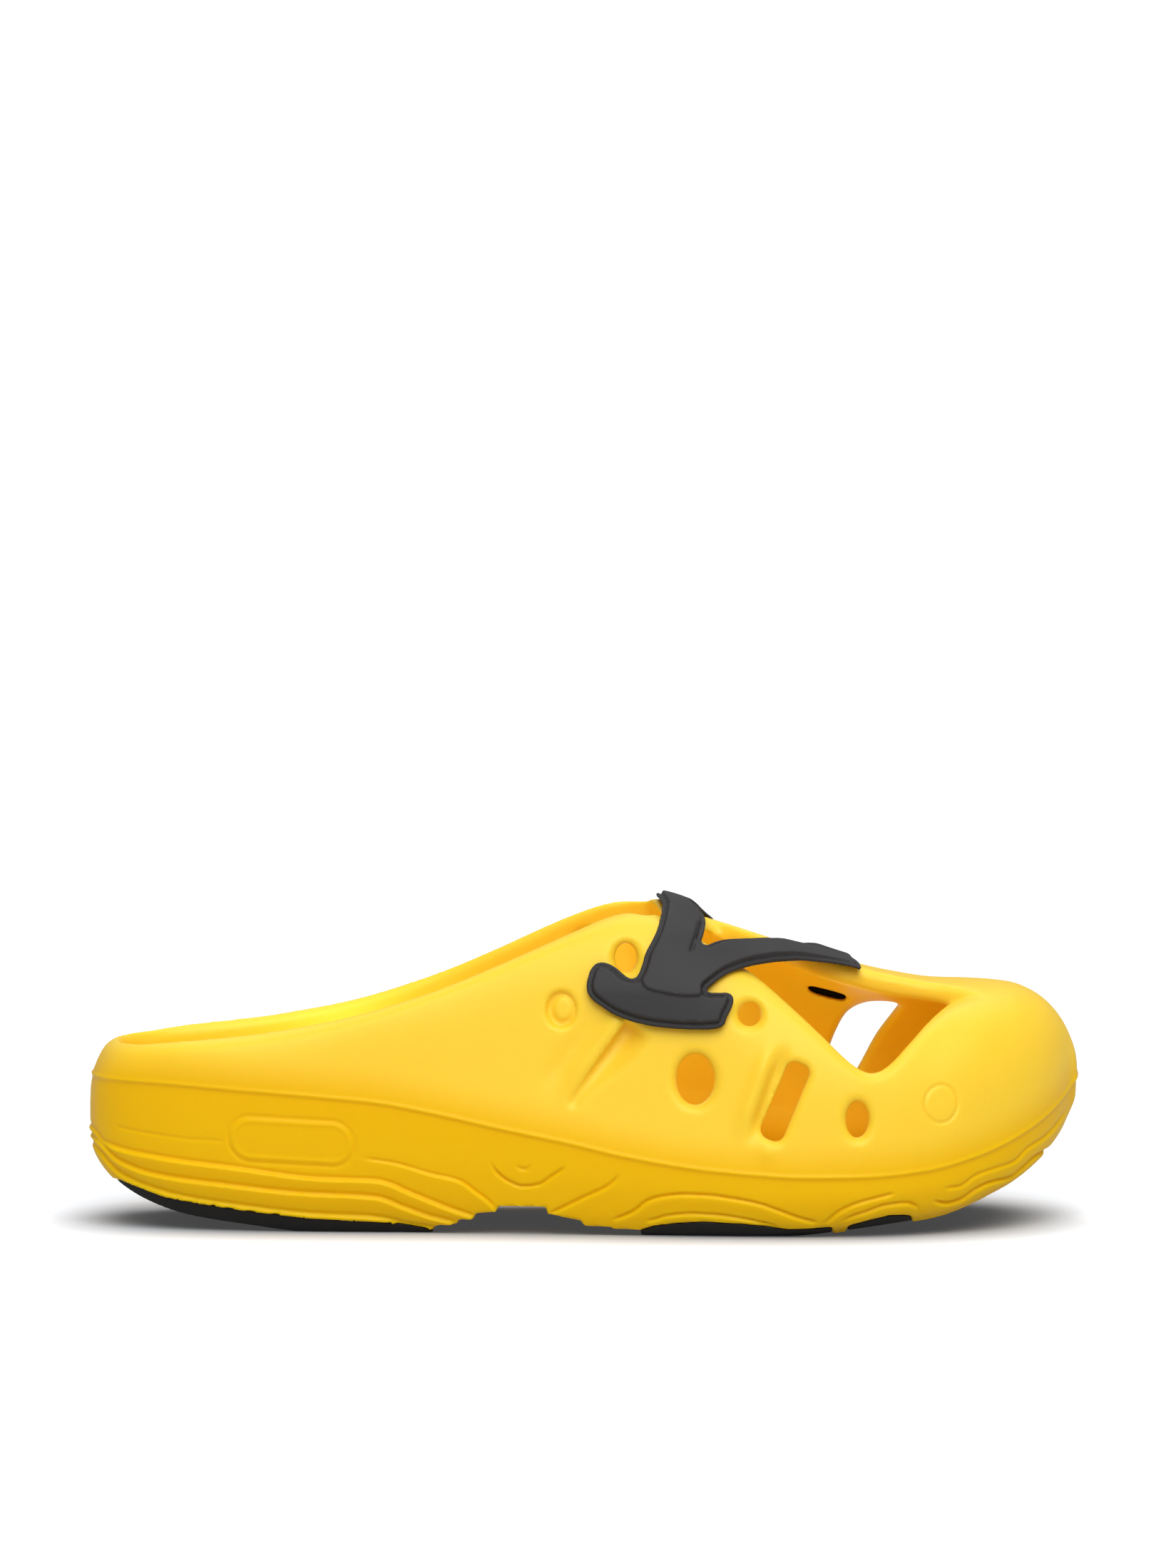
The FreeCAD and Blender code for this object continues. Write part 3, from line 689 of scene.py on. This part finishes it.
def build_pad(name):
    outline, plan = PADS[name]
    along, up = np.array(outline, float).T
    field = Field((along.min() - 2, -56, -2), (along.max() + 2, 56, up.max() + 2), PAD_VOXEL)
    under = field.of(*OUTER_SKIN, band=4.0) + 0.45
    xs, ys, zs = field.axes
    pocket = pad_distance(xs, ys, zs, outline, plan, -0.05)
    values = round_both(under, pocket, 0.35)
    values = np.maximum(values, -field.z)
    if name == "heel_tread":
        values = np.maximum(values, -polygon_distance(ARCH, xs, zs)[:, None, :])
    grooves = tread_grooves(name, xs[:, None], ys[None, :])[:, :, None]
    outer_reach, inner_reach = (0.83 * width[:, None] for width in section_at(xs)[2:4])
    off_edge = np.maximum(ys[None, :] - inner_reach, -ys[None, :] - outer_reach) + 5.0
    cutter = np.maximum(grooves, off_edge[:, :, None])
    cutter = np.maximum(np.maximum(cutter, -under - 1.5), pocket + 1.0)
    values = round_both(values, -cutter, 0.3)
    points, quads = field.surface(values)
    points = field.settle(values, points)
    points[:, 2] = np.maximum(points[:, 2], 0.0)
    thing = make_mesh(name, points, quads)
    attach(thing, "shell")
    return thing


def raise_lines(x, z):
    """Relief of the sole's sidewall, outwards in millimetres, at places in side view."""
    def level(line):
        """The line's height, and how far it has faded in after its start and out before its end."""
        first, last = line[0][0], line[-1][0]
        return line_height(line, x), ease(first - 0.1, first + 3, x), ease(last + 0.1, last - 2.5, x)

    def off(line, at):
        """How far above the line, square to it."""
        tilt = line_height(line, x + 0.5) - line_height(line, x - 0.5)
        return (z - at) / np.sqrt(1 + tilt ** 2)

    above = off(PARTING, line_height(PARTING, x))
    out = 0.36 * bell(above, 0.6) - 0.34 * ease(0.3, -0.8, above)
    crease, first, _ = level(ARCH_CREASE)
    top, _, top_end = level(BAND_TOP)
    middle, _, middle_end = level(BAND_MIDDLE)
    low, _, low_end = level(BAND_LOW)
    toward_arch = ease(76, 112, x)
    fade = ease(126, 123, x)
    back = 0.45 + 0.55 * ease(1, 12, x)
    out += 1.0 * toward_arch * first * fade * step_down(z, crease, top)
    out += 1.25 * back * top_end * step_down(z, top, middle)
    out += 1.25 * back * middle_end * step_down(z, middle, low)
    out += 1.1 * back * low_end * step_down(z, low, low - 4.5)
    bands = ((BAND_TOP, top, top_end), (BAND_MIDDLE, middle, middle_end), (BAND_LOW, low, low_end))
    for line, at, end in bands:
        out -= 0.4 * end * bell(off(line, at) - 0.55, 0.5)
    for line, groove, drop in WAVES:
        at, start, end = level(line)
        inside = start * end
        away = off(line, at)
        out += 2.7 * groove * inside * bell(away, 0.46)
        out += 0.5 * drop * inside * ease(-0.2, -1.0, away) * ease(-4.5, -1.4, away)
    return out


def step_down(z, top, bottom):
    """A lip that stands out just below a line and tapers back to nothing at the next one."""
    gap = np.maximum(top - bottom, 0.6)
    share = np.clip((top - z) / gap, 0, 1)
    return ease(top + 0.15, top - 0.65, z) * (1 - share) ** 0.8


def emblem(x, z):
    """A plain stadium at the heel and a plain ring at the toe, drawn by shallow grooves."""
    heel = box_distance(x - 62.4, (z - 27.7) + 0.05 * (x - 62.4), 19.0, 7.0, 6.9)
    toe = oval_distance(x - 256.6, z - 39.6, 5.0, 5.6)
    groove = -0.32 * bell(heel, 0.55) - 0.5 * bell(toe, 0.5)
    inner = 0.25 * bell(heel + 1.6, 0.6)
    return groove + inner


def add_relief(field, outer, points, normals):
    """Fine lines on the outer wall, by moving points along their normals."""
    value = field.at(outer, points)[0]
    on_wall = ease(0.9, 0.25, np.abs(value))
    x, y, z = points.T
    side = ease(0.2, 0.5, np.abs(normals[:, 1]) + np.abs(normals[:, 0]))
    lift = raise_lines(x, z) + emblem(x, z) * (y < 0)
    lift = lift * on_wall * side * ease(0.2, 1.2, z)
    return points + normals * lift[:, None]


def make_shell():
    """The shell's mesh, finer on the sole's side and round the toe ring, where the relief is."""
    field, values, outer = build_shell()
    points, quads = field.surface(values)
    middles = points[quads].mean(1)
    x, y, z = middles.T
    near_wall = np.abs(field.at(outer, middles)[0]) < 1.2
    low_wall = z < line_height(PARTING, x) + 2.2
    near_ring = (np.abs(x - 257.4) < 8) & (np.abs(z - 39.6) < 8) & (y < 0)
    points, quads, many = split_faces(points, quads, near_wall & (low_wall | near_ring))
    points = field.settle(values, points)
    slope = field.at(values, points)[1]
    normals = slope / np.maximum(np.linalg.norm(slope, axis=1), 1e-6)[:, None]
    points = add_relief(field, outer, points, normals)
    shell_piece = make_mesh("clog_shell", points, quads, many)
    # Mask for the painted light and shade: 0 on the sole's side, rising to 1 from 2 mm below to 12 mm above
    # the parting line; where it is 1 the foam is painted paler, and it is also made shinier there
    upper = shell_piece.data.attributes.new("upper", "FLOAT", "POINT")
    rise = points[:, 2] - line_height(PARTING, points[:, 0])
    upper.data.foreach_set("value", ease(-2.0, 12.0, rise).astype(np.float32))
    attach(shell_piece, "shell")
    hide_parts("eva_shell")
    return shell_piece


shell_piece = make_shell()
tread_pieces = [build_pad(name) for name in PADS]
for piece, node in zip(tread_pieces, ("heel_outsole", "ball_outsole", "toe_outsole")):
    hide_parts(node)


# ------ harness

# Outlines of the harness on its outer face. Those of a side are (distance from the heel, height as seen from
# SIGHT_ELEVATION up), and the others are (distance from the heel, y) seen from above.
STRAP_RIM = [
    (173.7, 95.7), (173.5, 94), (173.1, 92.1), (172.6, 89.9), (172.1, 88), (171.5, 86.1), (170.6, 84.1),
    (169.7, 82.4), (168.7, 80.5), (168, 78.6), (167.6, 76.9), (167, 75), (166.3, 73.2), (165.4, 72.1),
    (164.1, 71.8), (162.9, 72.3), (161.6, 73.3), (160.4, 74.4), (159, 75.5), (157.6, 76.3), (156, 76.8),
    (154.6, 76.8), (153.5, 76.4), (152.6, 75.5), (151.8, 74.2), (151.3, 72.5), (150.9, 70.9), (150.8, 69.4),
    (151, 67.8), (151.8, 66.3), (153.2, 64.8), (155.4, 63.3), (158.2, 61.4), (161, 60.1), (163.7, 59.1),
    (167.1, 58.2), (170.4, 57.5), (173.7, 57.1), (178.1, 56.7), (182.5, 56.5), (185.9, 56.5), (188.1, 56.6),
    (190.2, 57), (191.8, 58.1), (192.5, 60.1), (193.5, 62), (194.3, 63.9), (194.6, 65.3), (194.3, 66.4),
    (193.6, 67.1), (192.5, 67.4), (190.8, 67.4), (189.2, 67.4), (187.5, 67.5), (186.7, 68), (186.9, 68.7),
    (187.7, 69.4), (189.2, 70.7), (191.4, 72.4), (193.6, 73.7), (195.8, 74.7), (198, 75.6), (200.2, 76.4),
    (202.4, 77), (205.2, 77.6), (208, 78.1), (211.3, 78.5), (214.6, 78.8), (217.9, 78.8), (221.3, 78.6),
    (225.1, 78.3), (229, 77.8), (232.2, 77.1), (233.6, 76.4),
]
# The same for the inner side past its own end piece, which is the outer one's shape further forward.
INNER_ARM = [
    (197, 70.6), (200, 72.4), (203.4, 72.8), (207, 71.2), (211, 67.8), (215, 63.6), (219, 59.9),
    (223, 57.4), (227, 56.5), (231, 57.6), (233.8, 60.4), (235, 64),
]
FRONT_OVER = [(233.8, 28), (232, 20), (231.8, 11)]
GAP_OUTER = [
    (186.6, 92.6), (187, 90), (186.5, 87.4), (185.9, 85.2), (185.4, 83.6), (185.9, 82.7), (187, 82.4),
    (188.1, 82.9), (190.3, 83.8), (193, 84.4), (196.4, 84.7), (200.2, 84.9), (204.7, 84.9), (208.4, 84.8),
]
GAP_FRONT = [(212.9, -6.2), (216.4, -2.2), (218.4, 2.8), (218.6, 9), (216.6, 15.4), (212.2, 22)]
GAP_INNER = [
    (204, 81.6), (199.6, 82.7), (196.4, 82.9), (194.2, 82.4), (192.9, 82), (191.6, 82.5), (191, 83.6),
    (190.6, 85.2), (189.8, 87),
]
GAP_REAR = [(187.2, 18), (185, 12), (183.4, 4), (184.4, -6)]
REAR_OVER = [(174.8, 21), (173.4, 15), (171.9, 8)]
REAR_TURN = 88.0           # the height above which the inner rear edge is given from above instead
STRAP_EDGE = 2.0           # how far the harness's edge stands off the shell
END_PIECE_COUNT = 56       # points of the rim down to where the outer end piece meets the front arm
# The lower edge of the raised Y on each tab, in side view on the outer wall.
RAISED_EDGE = [
    (160, 96), (166.6, 79.6), (167.9, 74.8), (169.6, 73.7), (173, 72.9), (177, 72.2), (181, 71.9),
    (183.6, 71.9), (185.6, 73), (189.6, 75.8), (193.8, 78.4), (198, 79.9), (204, 81), (214, 80.5),
]


def unrolled(x, y, z):
    """A point's place on the harness laid flat: along the foot, and across it over the top."""
    lean = y / np.sqrt(y * y + 15.0 ** 2)
    return x, y + lean * (100.0 - z)


def meet(field, height, starts, toward, stand_off):
    """Where lines of sight first come near the outer form, dropped onto it square to its surface."""
    run = np.arange(0, 96, 0.25)
    toward = np.array(toward, float)
    points = starts[:, None, :] + run[None, :, None] * toward
    value = field.at(height, points.reshape(-1, 3))[0].reshape(points.shape[:2])
    value = np.where(value == 0, BAND, value)
    reached = value < stand_off
    first = np.where(reached.any(1), reached.argmax(1), value.argmin(1))
    hit = points[np.arange(len(points)), first]
    distance, slope = field.at(height, hit)
    return hit - slope * (distance / np.maximum((slope ** 2).sum(1), 0.2))[:, None]


def strap_outline(field, height, parts):
    """A closed outline laid flat, from parts seen from the outer side, the inner side or above."""
    tilt = math.radians(SIGHT_ELEVATION)
    flat = []
    for where, pairs in parts:
        pairs = np.array(pairs, float)
        if where == "top":
            starts = np.stack([pairs[:, 0], pairs[:, 1], np.full(len(pairs), 105.0)], axis=1)
            toward = (0, 0, -1)
        else:
            sign = 1 if where == "inner" else -1
            far_y = sign * 57.0
            z = (pairs[:, 1] + 57.0 * math.sin(tilt)) / math.cos(tilt)
            starts = np.stack([pairs[:, 0], np.full(len(pairs), far_y), z], axis=1)
            toward = (0, -sign * math.cos(tilt), -math.sin(tilt))
        stand_off = STRAP_EDGE + 0.8 * ease(76, 70, starts[:, 2])
        points = meet(field, height, starts, toward, stand_off[:, None])
        u, v = unrolled(*points.T)
        flat.append(np.stack([u, v], axis=1))
    return rounded_path(np.concatenate(flat), closed=True, per=5)


def table_lookup(values, us, vs, u, v):
    """A grid of values read at any places, evenly between its points."""
    fu = np.clip((u - us[0]) / (us[1] - us[0]), 0, len(us) - 1.001)
    fv = np.clip((v - vs[0]) / (vs[1] - vs[0]), 0, len(vs) - 1.001)
    i, j = np.floor(fu).astype(int), np.floor(fv).astype(int)
    a, b = fu - i, fv - j
    return ((values[i, j] * (1 - a) + values[i + 1, j] * a) * (1 - b)
            + (values[i, j + 1] * (1 - a) + values[i + 1, j + 1] * a) * b)


def build_strap():
    field = Field((147, -56, 55), (240, 56, 106), STRAP_VOXEL)
    rows = OUTER_ROWS[(OUTER_ROWS[:, 0] > 128) & (OUTER_ROWS[:, 0] < 262)]
    height = field.of(*skin([outer_loop(row) for row in rows]), band=6.5)
    us = np.arange(140, 250, 0.4)
    vs = np.arange(-100, 100, 0.4)
    end_piece = np.array(STRAP_RIM[:END_PIECE_COUNT])
    end_piece = end_piece[end_piece[:, 1] <= REAR_TURN]
    end_piece[:, 0] += INNER_SIDE_SHIFT * ease(95, 77, end_piece[:, 1])
    rim = strap_outline(field, height, [
        ("outer", STRAP_RIM), ("top", FRONT_OVER[::-1]), ("inner", INNER_ARM[::-1]),
        ("inner", end_piece[::-1]), ("top", REAR_OVER)])
    gap = strap_outline(field, height, [
        ("outer", GAP_OUTER), ("top", GAP_FRONT), ("inner", GAP_INNER), ("top", GAP_REAR)])
    inside = np.minimum(-polygon_distance(rim, us, vs), polygon_distance(gap, us, vs))
    hx, hy, hz = np.gradient(height, STRAP_VOXEL)
    u, v = unrolled(field.x - height * hx, field.y - height * hy, field.z - height * hz)
    edge = table_lookup(inside, us, vs, u, v).astype(np.float32)
    gx, gy, gz = np.gradient(edge, STRAP_VOXEL)
    stretch = np.sqrt(gx * gx + gy * gy + gz * gz)
    edge = edge / np.clip(stretch, 0.6, 2.6)

    side_x = field.x - np.where(field.y > 0, INNER_SIDE_SHIFT, 0.0)
    above = (field.z - line_height(RAISED_EDGE, np.clip(side_x, 160, 214))) * 0.8
    above = np.maximum(above, ease(84, 88, field.z) * 8)
    above = np.maximum(above, 8 * ease(200, 206, side_x))
    above = np.maximum(above, 8 * ease(186, 192, side_x) * (field.y > 0))
    low = ease(84, 72, field.z) * ease(204, 192, side_x)
    inner = 0.35 + 1.1 * low
    rise = ease(1.5, 2.1, edge)
    thick = 1.45 + 0.25 * low + (0.8 + 0.1 * low) * rise
    thick = thick + (0.25 + 0.6 * low) * ease(-0.25, 0.35, above) * rise
    thick = np.maximum(thick - 0.9 * ease(206, 230, side_x) - 0.55 * ease(88, 94, field.z), 0.95)
    groove = 0.45 * bell(edge - 1.35, 0.45)
    groove = groove + 0.5 * bell(above + 0.45, 0.45) * ease(1.2, 2.2, edge)
    across, share = line_frame(side_x, field.z, (182.0, 84.4), (184.7, 92.4))
    groove = groove + 0.8 * bell(across, 0.55) * ease(-0.05, 0.1, share) * ease(1.1, 0.9, share)
    groove = groove * (1 - 0.8 * ease(206, 222, side_x))
    values = round_both(height - (inner + thick - groove), -edge, 0.8)
    values = round_both(values, inner - height, 0.35)
    for sign in (-1, 1):
        for base, inward in peg_lines(sign):
            part = field.part(base - 12, base + 12)
            x, y, z = field.here(part)
            peg = peg_distance(x, y, z, base, inward, -2.0, 6.0, 3.2, 2.3)
            values[part] = np.minimum(values[part], peg)
    points, quads = field.surface(values)
    return make_mesh("strap_whole", field.settle(values, points), quads)


def keep_half(whole, name, sign):
    """One half of the harness, cut at the middle of the foot and capped."""
    mesh = whole.data.copy()
    shape = bmesh.new()
    shape.from_mesh(mesh)
    everything = list(shape.verts) + list(shape.edges) + list(shape.faces)
    cut = bmesh.ops.bisect_plane(shape, geom=everything, dist=1e-7, plane_co=(0, 0, 0),
                                 plane_no=(0, -sign, 0), clear_outer=True)
    rim = [e for e in cut["geom_cut"] if isinstance(e, bmesh.types.BMEdge) and e.is_boundary]
    made = bmesh.ops.holes_fill(shape, edges=rim, sides=0)
    bmesh.ops.triangulate(shape, faces=made["faces"])
    shape.to_mesh(mesh)
    shape.free()
    mesh.name = name
    mesh.shade_smooth()
    mesh.set_sharp_from_angle(angle=SHARP_ANGLE)
    half = new_object(name, mesh)
    return half


strap_whole = build_strap()
outer_half = keep_half(strap_whole, "harness_outer_half", -1)
inner_half = keep_half(strap_whole, "harness_inner_half", 1)
bpy.data.objects.remove(strap_whole)
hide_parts("strap_bridge", "outer_strap_tab")
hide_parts("strap_bridge", "inner_strap_tab")


def bend_at_hinge(half):
    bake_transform(half)


bend_at_hinge(outer_half)
bend_at_hinge(inner_half)


# ------ footbed

def build_footbed():
    """A thin bed on the floor of the hollow, with a field of small massage domes."""
    table = np.array(HOLLOW)
    xs = np.linspace(12.6, 280.6, 440)
    across = np.linspace(-1, 1, 140)
    floor, outer, inner = (smooth(table[:, 0], table[:, k], xs)[:, None] for k in (1, 3, 4))
    clear = 1.1
    middle, half = (inner - outer) / 2, (inner + outer) / 2 - clear
    near_heel = np.sqrt(np.clip((xs - 11.6) / 9.0, 0, 1))[:, None]
    near_toe = np.sqrt(np.clip((282.0 - xs) / 12.0, 0, 1))[:, None]
    half = half * np.minimum(near_heel, near_toe) ** 0.35
    spread = np.sign(across) * (1 - (1 - np.abs(across)) ** 1.25)
    y = middle + half * spread[None, :]
    x = xs[:, None] * np.ones_like(y)
    low = floor + 0.3 + 0 * y
    edge = half * (1 - np.abs(spread[None, :]))
    round_off = 1.6 * (1 - ease(0, 2.2, edge))
    cup = 1.1 * ease(13, 1.5, edge) * ease(1.4, 3.4, edge)
    high = low + 4.4 - round_off + cup * 0.6
    row = np.round(x / 4.6)
    shift = np.mod(row, 2) * 2.65
    col = np.round((y - shift) / 5.3)
    gap = np.hypot(x - row * 4.6, y - shift - col * 5.3)
    zone = np.maximum(ease(20, 30, x) * ease(92, 84, x), ease(178, 190, x) * ease(262, 252, x))
    zone = ease(5, 8, edge) * zone
    high = high + 0.55 * zone * ease(1.7, 0.7, gap)
    top = np.stack([x, y, high], axis=-1)
    under = np.stack([x, y, low], axis=-1)
    rows, cols = x.shape
    points = np.concatenate([top.reshape(-1, 3), under.reshape(-1, 3)])
    i, j = np.meshgrid(np.arange(rows - 1), np.arange(cols - 1), indexing="ij")
    a, b, c, d = i * cols + j, (i + 1) * cols + j, (i + 1) * cols + j + 1, i * cols + j + 1
    upper = np.stack([a, b, c, d], axis=-1).reshape(-1, 4)
    lower = upper[:, ::-1] + rows * cols
    rim = np.concatenate([np.arange(rows) * cols, (rows - 1) * cols + np.arange(1, cols),
                          np.arange(rows - 2, -1, -1) * cols + cols - 1, np.arange(cols - 2, 0, -1)])
    after = np.roll(rim, -1)
    sides = np.stack([rim, rim + rows * cols, after + rows * cols, after], axis=1)
    thing = make_mesh("foam_footbed", points, np.concatenate([upper, lower, sides]))
    thing.data.set_sharp_from_angle(angle=SHARP_ANGLE)
    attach(thing, "insole")
    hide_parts("footbed")
    return thing


footbed_piece = build_footbed()


# ------ materials

FOAM_SHADED_AND_LIT_COLOURS = {"A": (0.875, 0.505, 0.001, 1), "B": (0.98, 0.63, 0.035, 1)}    # one foam in two painted tones: painted shade on the sole's side (A), painted light above it (B)
FOAM_SHINE = {"To Min": 0.22, "To Max": 0.55}
STRAP_COLOUR = (0.028, 0.026, 0.027, 1)
TREAD_COLOUR = (0.006, 0.006, 0.006, 1)
GRAIN_DEPTH = 0.0002


def set_inputs(node, values):
    for name, value in values.items():
        node.inputs[name].default_value = value
    return node


def new_material(name, values):
    """A material whose surface has these values."""
    material = bpy.data.materials.new(name)
    material.use_nodes = True
    tree = material.node_tree
    return material, tree, set_inputs(tree.nodes["Principled BSDF"], values)


def add_grain(tree, shader, scale, detail, strength):
    """Fine bumps all over the surface."""
    noise = set_inputs(tree.nodes.new("ShaderNodeTexNoise"), {"Scale": scale, "Detail": detail})
    bump = set_inputs(tree.nodes.new("ShaderNodeBump"), {"Strength": strength, "Distance": GRAIN_DEPTH})
    place = tree.nodes.new("ShaderNodeTexCoord")
    tree.links.new(place.outputs["Object"], noise.inputs["Vector"])
    tree.links.new(noise.outputs["Fac"], bump.inputs["Height"])
    tree.links.new(bump.outputs["Normal"], shader.inputs["Normal"])


def foam_material():
    """Soft foam of one yellow that is shinier above the sole and painted paler there as painted light, and
    painted darker on the sole's side as painted shade. The two are blended by the attribute "upper", which is
    1 above the sole.
    """
    material, tree, shader = new_material("foam", {
        "Roughness": 0.42, "Subsurface Weight": 0.3, "Subsurface Radius": (1.0, 0.45, 0.03),
        "Subsurface Scale": 0.009, "Specular Tint": (1.0, 0.88, 0.5, 1)})
    upper = tree.nodes.new("ShaderNodeAttribute")
    upper.attribute_name = "upper"
    # Blends the darker, painted-shade colour (A) with the paler, painted-light colour (B)
    painted_light_blend = tree.nodes.new("ShaderNodeMix")
    painted_light_blend.data_type = "RGBA"
    set_inputs(painted_light_blend, FOAM_SHADED_AND_LIT_COLOURS)
    shine = set_inputs(tree.nodes.new("ShaderNodeMapRange"), FOAM_SHINE)
    tree.links.new(upper.outputs["Fac"], painted_light_blend.inputs["Factor"])
    tree.links.new(painted_light_blend.outputs["Result"], shader.inputs["Base Color"])
    tree.links.new(upper.outputs["Fac"], shine.inputs["Value"])
    tree.links.new(shine.outputs["Result"], shader.inputs["Specular IOR Level"])
    add_grain(tree, shader, 1400, 3, 0.12)
    return material


def rubber_material(name, colour, rough, grain):
    material, tree, shader = new_material(name, {
        "Specular IOR Level": 0.32, "Base Color": colour, "Roughness": rough})
    add_grain(tree, shader, grain, 2, 0.15)
    return material


FOAM = foam_material()
# The shell takes both painted tones. The footbed has no "upper" attribute, so it gets the darker
# painted-shade colour all over
shell_piece.data.materials.append(FOAM)
footbed_piece.data.materials.append(FOAM)
STRAP = rubber_material("harness_rubber", STRAP_COLOUR, 0.58, 2200)
for piece in (outer_half, inner_half):
    piece.data.materials.append(STRAP)
TREAD = rubber_material("tread_rubber", TREAD_COLOUR, 0.6, 1500)
for piece in tread_pieces:
    piece.data.materials.append(TREAD)


# ------ stage, light and camera

WHITE = (1, 1, 1, 1)
FLOOR_REACH = 6.0
# The floor's colour is a little blue, to offset the yellow light the clog throws on it
FLOOR_COLOUR = (0.91, 0.94, 0.99, 1)
FLOOR_BOUNCE = (0.57, 0.57, 0.57, 1)       # what the clog is lit by from below
CONTACT_REACH = 0.027                      # how far from the clog its soft contact shadow goes
WORLD_GLOW = 0.31
# Each small fill inside the shoe, for the light the foam lets through: its x, height and watts.
FILLS = {"toe_fill": (0.075, 0.046, 0.008), "instep_fill": (0.018, 0.058, 0.008),
         "heel_fill": (-0.075, 0.058, 0.016)}
# Each broad light: degrees round from the front, degrees up, how many degrees wide, and strength.
SUNS = {"front_key": (8, 51, 50, 2.0), "front_sheen": (0, 34, 30, 0.4), "top_back": (170, 70, 55, 1.0)}
CAMERA_LENS = 200.0
CAMERA_X = 0.0012
VIEW_HEIGHT = 476.7        # the picture's height at the clog, in millimetres
VIEW_RISE = 132.34         # how far the picture's centre is above the origin, in millimetres


def by_camera(tree, elsewhere, seen, surface):
    """One shader for what the camera sees, and another for the light it gives."""
    path = tree.nodes.new("ShaderNodeLightPath")
    mix = tree.nodes.new("ShaderNodeMixShader")
    tree.links.new(path.outputs["Is Camera Ray"], mix.inputs["Fac"])
    tree.links.new(elsewhere.outputs[0], mix.inputs[1])
    tree.links.new(seen.outputs[0], mix.inputs[2])
    tree.links.new(mix.outputs[0], surface)


def build_floor():
    mesh = bpy.data.meshes.new("floor")
    far = FLOOR_REACH
    mesh.from_pydata([(-far, -far, 0), (far, -far, 0), (far, far, 0), (-far, far, 0)], [], [(0, 1, 2, 3)])
    floor = new_object("floor", mesh)
    # Seen by the camera, the floor has a painted contact shadow, darkened by ambient occlusion near the clog.
    # A faint emission, painted light, lifts that shade
    material, tree, shader = new_material("floor_white", {
        "Emission Color": WHITE, "Emission Strength": 0.06, "Roughness": 0.9, "Specular IOR Level": 0.0})
    painted_contact_shadow = tree.nodes.new("ShaderNodeAmbientOcclusion")
    painted_contact_shadow.samples = 8
    set_inputs(painted_contact_shadow, {"Color": FLOOR_COLOUR, "Distance": CONTACT_REACH})
    tree.links.new(painted_contact_shadow.outputs["Color"], shader.inputs["Base Color"])
    bounce = set_inputs(tree.nodes.new("ShaderNodeBsdfDiffuse"), {"Color": FLOOR_BOUNCE})
    by_camera(tree, bounce, shader, tree.nodes["Material Output"].inputs["Surface"])
    mesh.materials.append(material)


def build_world():
    """White behind the clog, and a weaker glow on it."""
    world = bpy.data.worlds.new("studio")
    bpy.context.scene.world = world
    world.use_nodes = True
    tree = world.node_tree
    tree.nodes.clear()
    out = tree.nodes.new("ShaderNodeOutputWorld")
    seen, glow = (set_inputs(tree.nodes.new("ShaderNodeBackground"), {"Color": WHITE, "Strength": strength})
                  for strength in (1.0, WORLD_GLOW))
    by_camera(tree, glow, seen, out.inputs["Surface"])


def build_camera():
    data = bpy.data.cameras.new("camera")
    data.lens = CAMERA_LENS
    data.clip_end = 50
    distance = CAMERA_LENS / data.sensor_width * VIEW_HEIGHT
    dip = math.atan(VIEW_RISE / distance)
    tilt = math.radians(SIGHT_ELEVATION)
    camera = new_object("camera", data)
    camera.location = (CAMERA_X, -distance * MM * math.cos(tilt), distance * MM * math.sin(tilt))
    camera.rotation_euler = (math.pi / 2 - (tilt - dip), 0, 0)
    bpy.context.scene.camera = camera


def add_sun(name, azimuth, elevation, angle, strength):
    light = bpy.data.lights.new(name, "SUN")
    light.energy = strength
    light.angle = math.radians(angle)
    az, el = math.radians(azimuth), math.radians(elevation)
    toward = Vector((math.sin(az) * math.cos(el), -math.cos(az) * math.cos(el), math.sin(el)))
    new_object(name, light).rotation_euler = toward.to_track_quat("Z", "Y").to_euler()


def add_fill(name, x, z, watts):
    light = bpy.data.lights.new(name, "POINT")
    light.energy = watts
    light.color = (0.86, 1.0, 0.6)
    light.shadow_soft_size = 0.012
    thing = new_object(name, light)
    thing.location = (x, 0.0, z)
    thing.visible_camera = False


build_floor()
build_world()
for name, values in FILLS.items():
    add_fill(name, *values)
for name, values in SUNS.items():
    add_sun(name, *values)
build_camera()
bpy.context.scene.view_settings.view_transform = "Standard"
